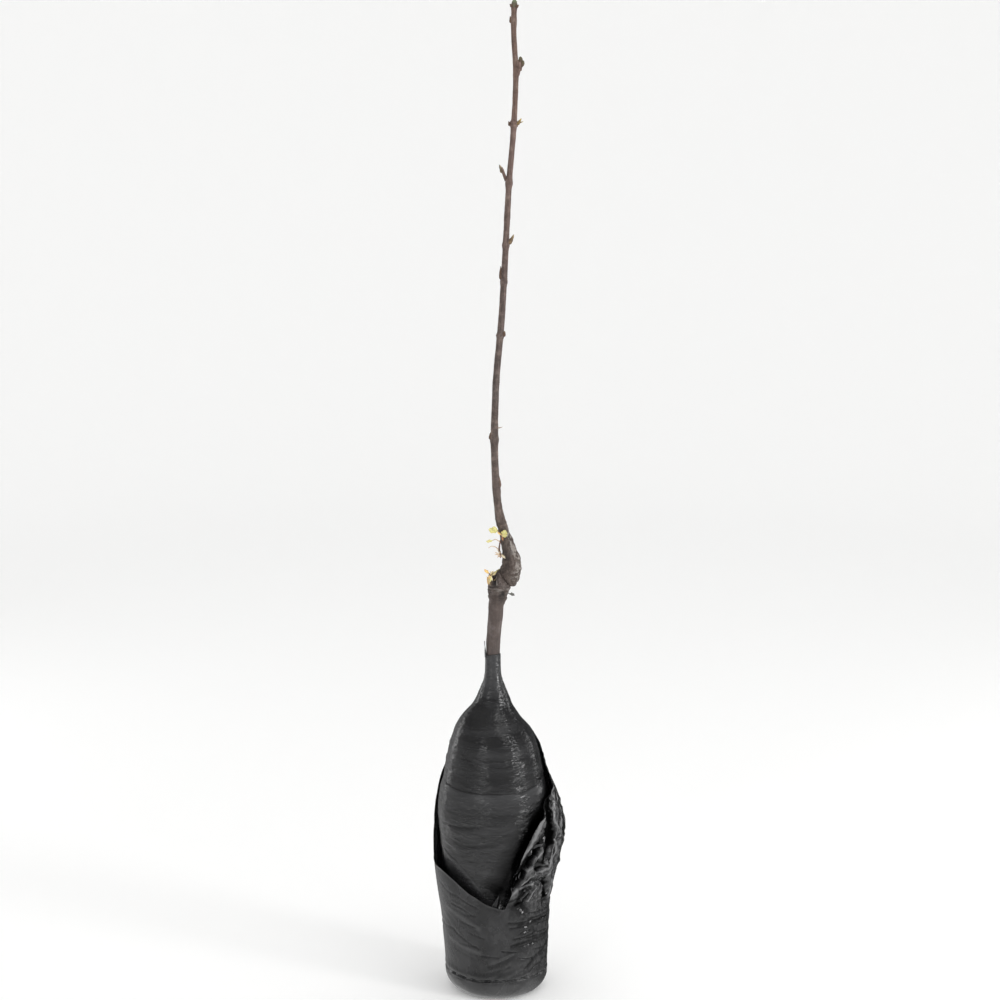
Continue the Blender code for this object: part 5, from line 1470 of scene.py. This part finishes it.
# shoots: points, radius at foot and tip
# leaves: foot, heading, the way it faces, length, width, curl, colour
tufts = {
    "upper_leaf_tuft": {
        "slot": "yellow_leaf",
        "shoots": [
            ([(0.0090, -0.0050, 0.5935), (0.0058, -0.0090, 0.5975), (0.0010, -0.0092, 0.6045)], 0.0011, 0.0006),
            ([(0.0060, -0.0088, 0.5972), (0.0068, -0.0100, 0.5985), (0.0076, -0.0105, 0.5990)], 0.0009, 0.0006),
        ],
        "leaves": [
            ((0.0018, -0.0092, 0.6036), (-1.0, 0.0, 0.12), (0, -1, 0.1), 0.0124, 0.0078, 0.08, "leaf"),
            ((0.0000, -0.0094, 0.6034), (-0.62, -0.1, 0.80), (0, -1, 0.1), 0.0078, 0.0044, 0.12, "leaf"),
            ((0.0074, -0.0102, 0.5972), (0.42, -0.10, 0.88), (0, -1, 0.1), 0.0088, 0.0072, 0.10, "leaf"),
            ((0.0066, -0.0102, 0.5970), (0.90, -0.25, 0.22), (0, -1, 0.1), 0.0072, 0.0048, 0.12, "leaf"),
            ((0.0060, -0.0094, 0.5978), (-0.75, -0.20, 0.62), (0, -1, 0.1), 0.0078, 0.0020, 0.10, "orange"),
            ((0.0066, -0.0096, 0.5965), (0.20, -0.40, -0.85), (0, -1, 0.1), 0.0060, 0.0026, 0.15, "russet"),
        ],
    },
    "side_shoot": {
        "slot": "dry_leaf",
        "shoots": [
            ([(0.0110, -0.0040, 0.5680), (0.0053, -0.0055, 0.5720), (0.0030, -0.0052, 0.5795),
              (0.0036, -0.0052, 0.5850), (0.0046, -0.0054, 0.5910)], 0.0014, 0.0007),
            ([(0.0042, -0.0053, 0.5885), (-0.0017, -0.0055, 0.5918), (-0.0058, -0.0055, 0.5902)], 0.0005, 0.0004),
            ([(0.0032, -0.0052, 0.5782), (-0.0023, -0.0060, 0.5824), (-0.0067, -0.0060, 0.5832),
              (-0.0104, -0.0058, 0.5809)], 0.0006, 0.0003),
        ],
        "leaves": [
            ((-0.0050, -0.0055, 0.5904), (-1.0, 0.0, -0.17), (0, -1, 0.1), 0.0088, 0.0034, 0.05, "leaf"),
            ((0.0046, -0.0056, 0.5728), (-0.85, -0.3, 0.40), (0, -1, 0.1), 0.0098, 0.0013, 0.35, "dry"),
            ((0.0048, -0.0056, 0.5724), (-0.95, -0.2, 0.02), (0, -1, 0.1), 0.0074, 0.0016, -0.30, "dry"),
            ((0.0052, -0.0060, 0.5725), (0.58, -0.72, -0.36), (0, -1, 0.1), 0.0100, 0.0030, 0.05, "cream"),
            ((0.0046, -0.0058, 0.5735), (-0.40, -0.5, 0.90), (0, -1, 0.1), 0.0060, 0.0011, 0.45, "straw"),
            ((0.0050, -0.0058, 0.5718), (-0.70, -0.3, -0.30), (-0.5, -1, 0.4), 0.0050, 0.0020, -0.40, "dry"),
            ((0.0038, -0.0056, 0.5745), (-0.75, 0.35, 0.60), (0.3, -1, 0.6), 0.0064, 0.0012, 0.50, "cream"),
            ((0.0044, -0.0060, 0.5712), (0.05, -0.6, -0.85), (0, -1, 0.1), 0.0042, 0.0016, 0.30, "russet"),
        ],
    },
    "lower_leaf_tuft": {
        "slot": "yellow_leaf",
        "shoots": [
            ([(-0.0052, -0.0050, 0.5410), (-0.0078, -0.0072, 0.5452), (-0.0098, -0.0080, 0.5490)], 0.0012, 0.0006),
        ],
        "leaves": [
            ((-0.0094, -0.0080, 0.5482), (-0.74, 0.0, 0.67), (0, -1, 0.1), 0.0088, 0.0036, 0.10, "orange"),
            ((-0.0088, -0.0078, 0.5474), (0.70, -0.25, 0.62), (-0.4, -1, 0.3), 0.0080, 0.0020, 0.30, "straw"),
            ((-0.0082, -0.0075, 0.5462), (-0.35, -0.55, -0.60), (0.2, -1, 0.1), 0.0066, 0.0030, 0.25, "orange"),
            ((-0.0080, -0.0076, 0.5458), (0.30, -0.70, -0.65), (0, -1, 0.4), 0.0070, 0.0026, -0.25, "cream"),
            ((-0.0096, -0.0070, 0.5440), (0.10, -0.30, -0.95), (-0.6, -1, 0.1), 0.0092, 0.0034, 0.15, "straw"),
            ((-0.0066, -0.0085, 0.5450), (-0.30, -0.55, -0.75), (0.5, -1, 0.2), 0.0080, 0.0030, 0.20, "leaf"),
            ((-0.0060, -0.0080, 0.5462), (0.80, -0.30, 0.35), (0, -1, 0.8), 0.0062, 0.0022, 0.20, "straw"),
            ((-0.0108, -0.0064, 0.5420), (-0.15, -0.30, -0.90), (0.4, -1, 0.1), 0.0078, 0.0026, 0.25, "orange"),
            ((-0.0040, -0.0040, 0.5475), (0.75, 0.10, 0.55), (0, -1, 0.5), 0.0056, 0.0018, 0.20, "leaf"),
        ],
    },
    "withered_bud": {
        "slot": "withered",
        "shoots": [
            ([(0.0090, -0.0040, 0.5240), (0.0140, -0.0055, 0.5228), (0.0172, -0.0055, 0.5212)], 0.0007, 0.0005),
        ],
        "leaves": [
            ((0.0160, -0.0055, 0.5217), (0.92, -0.1, -0.30), (0.0, -0.6, 0.8), 0.0068, 0.0040, 0.10, "withered"),
            ((0.0160, -0.0055, 0.5217), (0.80, -0.2, 0.10), (0.0, -0.9, 0.2), 0.0055, 0.0032, 0.10, "withered"),
        ],
    },
}
growthColours = {   # fresh, dry, vein
    "leaf": ((0.60, 0.56, 0.20), (0.70, 0.56, 0.22), (0.78, 0.74, 0.44)),
    "orange": ((0.72, 0.46, 0.14), (0.60, 0.30, 0.08), (0.80, 0.62, 0.32)),
    "russet": ((0.34, 0.15, 0.07), (0.20, 0.08, 0.045), (0.50, 0.28, 0.14)),
    "dry": ((0.58, 0.42, 0.27), (0.40, 0.26, 0.17), (0.72, 0.58, 0.42)),
    "straw": ((0.70, 0.56, 0.29), (0.50, 0.36, 0.17), (0.82, 0.72, 0.48)),
    "cream": ((0.74, 0.64, 0.45), (0.58, 0.44, 0.27), (0.82, 0.76, 0.60)),
    "ash": ((0.27, 0.24, 0.22), (0.16, 0.13, 0.12), (0.36, 0.33, 0.31)),
    "withered": ((0.15, 0.15, 0.135), (0.075, 0.070, 0.062), (0.24, 0.24, 0.22)),
    "shoot": ((0.125, 0.060, 0.042), (0.070, 0.038, 0.030), (0.24, 0.13, 0.09)),
}
leafShape = {
    # half width along a leaf, as shares
    "outline": [(0.0, 0.10), (0.12, 0.42), (0.30, 0.80), (0.52, 1.0), (0.78, 0.72), (0.92, 0.36), (1.0, 0.06)],
    "rows": 44, "columns": 28,
    "teeth": (11, 0.05),      # how many, and their share of the width
    "lobes": 0.17,
    "fold": 0.32,             # rise of the blade by its distance from the rib
    "pucker": 0.014, "wave": 0.07, "ripple": 0.05,   # shares of the width
    "veins": 5.5,
    "thick": 0.00012, "rib": (0.00022, 0.0005),      # the rib's rise and half width
    "grain": (0.0003, 0.0022),
}


def growthFinish(name):
    # fresh and dry colours, with the painted edge and rib
    fresh, dry, vein = growthColours[name]
    made, tree, shader = newFinish("growth " + name)
    skin = useGroup(tree, dryGrowth, {
        "Vector": objectSpot(tree), "Fresh": rgb(*fresh), "Dry": rgb(*dry), "Vein": rgb(*vein),
        "Edge": attribute(tree, "edge"), "Rib": attribute(tree, "rib")})
    dressed(tree, shader, skin["Colour"], 0.62)
    raised(tree, shader, skin["Height"], 0.0002, 0.6)
    return made


def leafPatch(foot, heading, face, length, width, curl, finish, seed):
    # A flattened ring carried along the midrib. Half its width follows the outline with teeth and
    # uneven lobes. The blade folds up along the rib, curls up with the square of the length and
    # puckers between side veins that run forward from the rib.
    s, turn = evenly(0.0, 1.0, leafShape["rows"])[:, None], ringTurns(leafShape["columns"])
    heading = unit(np.array(heading, float))
    side = unit(np.cross(heading, face))
    up = np.cross(side, heading)
    count, size = leafShape["teeth"]
    teeth = 1 + size * (triangleWave(s * count) * 0.5 + 0.5) * smoothStep(0.05, 0.2, s)
    lobe = np.sign(np.cos(turn)) * np.abs(np.cos(turn)) ** 0.8
    lobes = np.sin(2 * np.pi * (2.1 * s + 0.31 * seed) + 1.7 * lobe) * smoothStep(0.1, 0.35, s)
    across = lobe * width / 2 * through(leafShape["outline"], s) * teeth * (1 + leafShape["lobes"] * lobes)
    veins = np.cos((s - 0.45 * np.abs(across) / width) * 2 * np.pi * leafShape["veins"])
    inner = 1 - np.abs(lobe) ** 3
    rise = np.abs(across) * leafShape["fold"] + curl * length * s * s + leafShape["pucker"] * width * veins * inner
    rise = rise + leafShape["wave"] * width * np.sin(7.0 * s + 3.0 * seed) * lobe
    rise = rise + leafShape["ripple"] * width * np.sin(19.0 * s + seed) * lobe ** 2
    thicker, half = leafShape["rib"]
    rise = rise + (leafShape["thick"] + thicker * np.exp(-(across / half) ** 2)) * np.sin(turn)
    spots = np.array(foot) + heading * (length * s)[..., None] + side * across[..., None] + up * rise[..., None]
    depth, size = leafShape["grain"]
    spots = spots + depth * noiseAt(spots, size, 400 + seed)[..., None] * up
    rib = np.maximum(np.exp(-(across / 0.0004) ** 2), 0.6 * smoothStep(0.80, 1.0, veins) * inner)
    edge = smoothStep(0.80, 1.0, np.abs(lobe)) * 0.8 + smoothStep(0.85, 1.0, s) * 0.5
    low, high = ends(spots)
    return {"rings": spots, "low": low, "high": high, "finish": finish,
            "paint": {"rib": rib, "edge": np.clip(edge, 0, 1)}}


def shootPatch(points, thick, thin, finish, seed):
    # a round ring carried along a smooth line through the points, thinner to its tip, with
    # knuckles every few millimetres and a fine grain
    points = np.array(points, float)
    at = evenly(0, len(points) - 1, 30 * (len(points) - 1) + 1)
    line = np.stack([through(list(enumerate(points[:, axis])), at) for axis in range(3)], -1)
    ahead = unit(np.gradient(line, axis=0))
    side = unit(np.cross(ahead, (0.05, 1.0, 0.1)))
    front = np.cross(side, ahead)
    s, turn = (at / at[-1])[:, None], ringTurns(14)
    travelled = np.cumsum(np.linalg.norm(np.gradient(line, axis=0), axis=1))[:, None]
    size = thick + (thin - thick) * s
    size = size * (1 + 0.22 * np.exp(-((np.mod(travelled / 0.0034, 1) - 0.5) / 0.14) ** 2))
    size = size * (1 + 0.10 * smoothNoise(np.cos(turn) * 1.7 + 9 * s, np.sin(turn) * 1.7, 14 * s, 500 + seed))
    turned = np.cos(turn)[..., None] * side[:, None] + np.sin(turn)[..., None] * front[:, None]
    return {"rings": line[:, None] + size[..., None] * turned, "low": line[0],
            "high": line[-1] + ahead[-1] * thin * 0.6, "finish": finish}


def buildTufts(finishes):
    # the first shoot has the colour of young wood, the others are dry
    order = list(growthColours)
    chosen = [finishes[name] for name in order]
    for name, growth in tufts.items():
        kinds = ["withered"] if name == "withered_bud" else ["shoot", "dry", "dry"]
        shoots = [shootPatch(*shoot, order.index(kind), k)
                  for k, (shoot, kind) in enumerate(zip(growth["shoots"], kinds))]
        leaves = [leafPatch(*leaf, order.index(kind), k) for k, (*leaf, kind) in enumerate(growth["leaves"])]
        buildPiece(spoken(name) + "Stalks", shoots, chosen, name)
        buildPiece(spoken(name) + "Blades", leaves, chosen, name)


# Torn wood and debris on the cut stub

snagWood = {
    "count": 46, "seed": 8, "length": (0.0030, 0.0080), "width": (0.0010, 0.0024), "thick": 0.0005,
    "centre": 0.0022, "reach": 0.0132,   # of the ring of splinters
    "azimuths": (-150, -45),
    "highest": 0.5475, "sunk": 0.0045,
    "heading": (-0.10, -0.05, 1.0), "spread": 0.22,
    "colours": ("straw", "orange", "dry", "russet", "cream", "ash"),
    "kinds": [0, 0, 0, 1, 2, 4, 4],      # places in that list, of which each splinter draws one
    # ashen splinters: foot, heading, length, width
    "grey": [((0.0002, -0.0138, 0.5345), (-0.04, 0.12, 1.0), 0.0120, 0.0011)],
}


def shardPatch(foot, heading, length, width, thick, turn, finish):
    # a splinter: a flat six-sided ring that narrows to a point, twisting by turn on the way
    s, corner = evenly(0, 1, 7)[:, None], ringTurns(6)
    heading = unit(np.array(heading))
    side = unit(np.cross(heading, (0.2, 1.0, 0.35)))
    front = np.cross(side, heading)
    size, twist = 1 - 0.85 * s ** 1.4, turn * s
    a, b = np.cos(corner) * width / 2 * size, np.sin(corner) * thick / 2 * size
    across, up = a * np.cos(twist) - b * np.sin(twist), a * np.sin(twist) + b * np.cos(twist)
    spots = np.array(foot) + heading * (length * s)[..., None] + side * across[..., None] + front * up[..., None]
    low, high = ends(spots)
    return {"rings": spots, "low": low, "high": high + heading * width * 0.3, "finish": finish,
            "paint": {"edge": s * 0.4}}


def buildSnagWood(finishes):
    # splinters on the stub's slanting cut, thickest along its left and front edge
    draw = np.random.default_rng(snagWood["seed"])
    patches = []
    for _ in range(snagWood["count"]):
        side = math.radians(draw.uniform(*snagWood["azimuths"]))
        out = snagWood["reach"] * draw.uniform(0.55, 1.0) ** 0.5
        x, y = snagWood["centre"] + out * math.sin(side), -out * math.cos(side)
        z = planeLevel(stems["snag"], x, y)
        if z > snagWood["highest"]:
            continue
        heading = np.array(snagWood["heading"]) + draw.normal(0, snagWood["spread"], 3)
        length, width = draw.uniform(*snagWood["length"]), draw.uniform(*snagWood["width"])
        kind = int(draw.choice(snagWood["kinds"]))
        foot = (x, y, z - snagWood["sunk"])
        patches.append(shardPatch(foot, heading, length, width, snagWood["thick"], draw.uniform(-1, 1), kind))
    for foot, heading, length, width in snagWood["grey"]:
        patches.append(shardPatch(foot, heading, length, width, snagWood["thick"] * 2, 0.4, 5))
    chosen = [finishes[name] for name in snagWood["colours"]]
    buildPiece("snagSplinters", patches, chosen, "lower_leaf_tuft")


def soilFinish():
    # damp peat: crumbs of two sizes, dark and paler brown
    made, tree, shader = newFinish("damp peat")
    spot = objectSpot(tree)
    crumbs = noiseNode(tree, spot, 180.0, 5.0, 0.7)
    grains = addNode(tree, "ShaderNodeTexVoronoi", {"Vector": spot, "Scale": 320.0}).outputs["Distance"]
    colour = mixed(tree, ranged(tree, crumbs, 0.4, 0.65), rgb(0.022, 0.015, 0.011), rgb(0.075, 0.050, 0.034))
    dressed(tree, shader, colour, 0.95)
    raised(tree, shader, plus(tree, crumbs, grains), 0.002, 0.8)
    return made


# Floor, light and camera

studio = {
    "floorRadius": 3.2, "bowlRadius": 6.5, "bowlHeight": 4.5, "floorColour": (0.86, 0.86, 0.855),
    "floorGlow": 0.12,
    "sky": 0.92,
    "flag": 0.85,             # how dark the flag behind the plant is
    # what smooth surfaces mirror between the soft boxes, by the sine of the elevation
    "mirrored": [(-1.0, 1.1), (-0.60, 1.0), (-0.36, 0.50), (0.25, 0.42), (0.40, 0.20), (0.62, 0.20), (0.74, 0.40),
                 (1.0, 0.40)],
    # soft boxes: azimuth from the front to the right, elevation, distance, width, height, power
    "lights": {
        "key": (60, 10, 2.2, 0.40, 0.75, 18),
        "over": (42, 50, 2.2, 0.60, 0.50, 3),
        "fill": (-26, 10, 2.4, 0.22, 0.60, 4),
        "leftRim": (-122, 4, 2.2, 0.45, 1.00, 4),
        "rightRim": (116, 4, 2.2, 0.30, 0.80, 3),
    },
    "aim": (0.0, 0.0, 0.34),
}


def buildFloor():
    # a pale floor that rises to a bowl all round, so that it closes the view from every side
    radius, outer, columns = studio["floorRadius"], studio["bowlRadius"], 96
    turn = ringTurns(columns)
    flat, bend = evenly(0.3, radius, 12)[:, None], evenly(0, np.pi / 2, 28)[1:, None]
    reach = np.concatenate([flat, radius + (outer - radius) * np.sin(bend)])
    rise = np.concatenate([0 * flat, studio["bowlHeight"] * (1 - np.cos(bend))])
    rings = np.stack([reach * np.cos(turn), reach * np.sin(turn), rise + 0 * turn], -1)
    rows = len(rings)
    grid = np.arange(rows * columns).reshape(rows, columns)
    turned = np.roll(grid, -1, axis=1)
    quads = np.stack([grid[:-1], grid[1:], turned[1:], turned[:-1]], -1).reshape(-1, 4)
    fan = np.stack([np.full(columns, rows * columns), grid[0], turned[0]], -1)
    mesh = bpy.data.meshes.new("paleFloor")
    mesh.from_pydata(rings.reshape(-1, 3).tolist() + [[0, 0, 0]], [], quads.tolist() + fan.tolist())
    mesh.shade_smooth()
    made, _, shader = newFinish("pale floor")
    for label, value in (("Base Color", rgb(*studio["floorColour"])), ("Roughness", 0.9),
                         ("Emission Color", rgb(1.0, 1.0, 1.0)), ("Emission Strength", studio["floorGlow"])):
        shader.inputs[label].default_value = value
    mesh.materials.append(made)
    floor = bpy.data.objects.new("paleFloor", mesh)
    bpy.context.scene.collection.objects.link(floor)
    floor.visible_glossy = False


def buildSky():
    # a plain sky, and for smooth surfaces bands of grey with a dark flag behind the plant to the
    # right, which they mirror at their right edge
    world = bpy.data.worlds.new("studio")
    world.use_nodes = True
    tree = world.node_tree
    glossy = addNode(tree, "ShaderNodeLightPath").outputs["Is Glossy Ray"]
    way = addNode(tree, "ShaderNodeTexCoord").outputs["Generated"]
    sine = addNode(tree, "ShaderNodeSeparateXYZ", {0: way}).outputs[2]
    stops = [((at + 1) / 2, (bright, bright, bright)) for at, bright in studio["mirrored"]]
    bands = colourRamp(tree, ranged(tree, sine, -1, 1), stops)
    toFlag = addNode(tree, "ShaderNodeVectorMath", {0: way, 1: (0.5, 0.866, 0.0)},
                     operation="DOT_PRODUCT").outputs["Value"]
    flag = times(tree, ranged(tree, toFlag, 0.45, 0.85), studio["flag"])
    mirrored = mixed(tree, flag, bands, rgb(0.03, 0.03, 0.03))
    shade = mixed(tree, glossy, rgb(*[studio["sky"]] * 3), mirrored)
    background = tree.nodes["Background"]
    background.inputs["Strength"].default_value = 1.0
    tree.links.new(shade, background.inputs["Color"])
    bpy.context.scene.world = world
    bpy.context.scene.view_settings.view_transform = "Standard"


def buildLights():
    # soft boxes that face the aim
    for name, (azimuth, elevation, distance, width, height, power) in studio["lights"].items():
        lamp = bpy.data.lights.new(name, "AREA")
        lamp.shape = "RECTANGLE"
        lamp.size, lamp.size_y, lamp.energy = width, height, power
        turnTo, tilt = math.radians(azimuth), math.radians(elevation)
        level = math.cos(tilt) * distance
        away = np.array([level * math.sin(turnTo), -level * math.cos(turnTo), math.sin(tilt) * distance])
        placed = bpy.data.objects.new(name, lamp)
        placed.location = away + studio["aim"]
        placed.rotation_euler = (math.pi / 2 - tilt, 0.0, turnTo)
        bpy.context.scene.collection.objects.link(placed)


def buildCamera():
    # the photo's camera, turned down by its pitch
    view = bpy.data.cameras.new("photo")
    view.lens, view.sensor_width = camera["lens"], camera["sensor"]
    placed = bpy.data.objects.new("photo", view)
    placed.location = camera["place"]
    placed.rotation_euler = (math.radians(90 - camera["pitch"]), 0.0, 0.0)
    bpy.context.scene.collection.objects.link(placed)
    bpy.context.scene.camera = placed


buildCamera()
buildFloor()
buildSky()
buildLights()
print("camera and studio ready")

filmBlack = plasticFinish("film black", filmLook)
buildFilm(filmBlack)
buildFilmEnd(filmBlack)
buildBag(plasticFinish("polythene black", bagLook))

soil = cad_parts["root_ball"]
soil.data.materials.clear()
soil.data.materials.append(soilFinish())

buildRootstock(barkFinish("rootstock"))
buildKnee(barkFinish("knee"))
buildLeader(barkFinish("leader"))
buildBuds({name: budFinish(name) for name in budColours})
growths = {name: growthFinish(name) for name in growthColours}
buildTufts(growths)
buildSnagWood(growths)
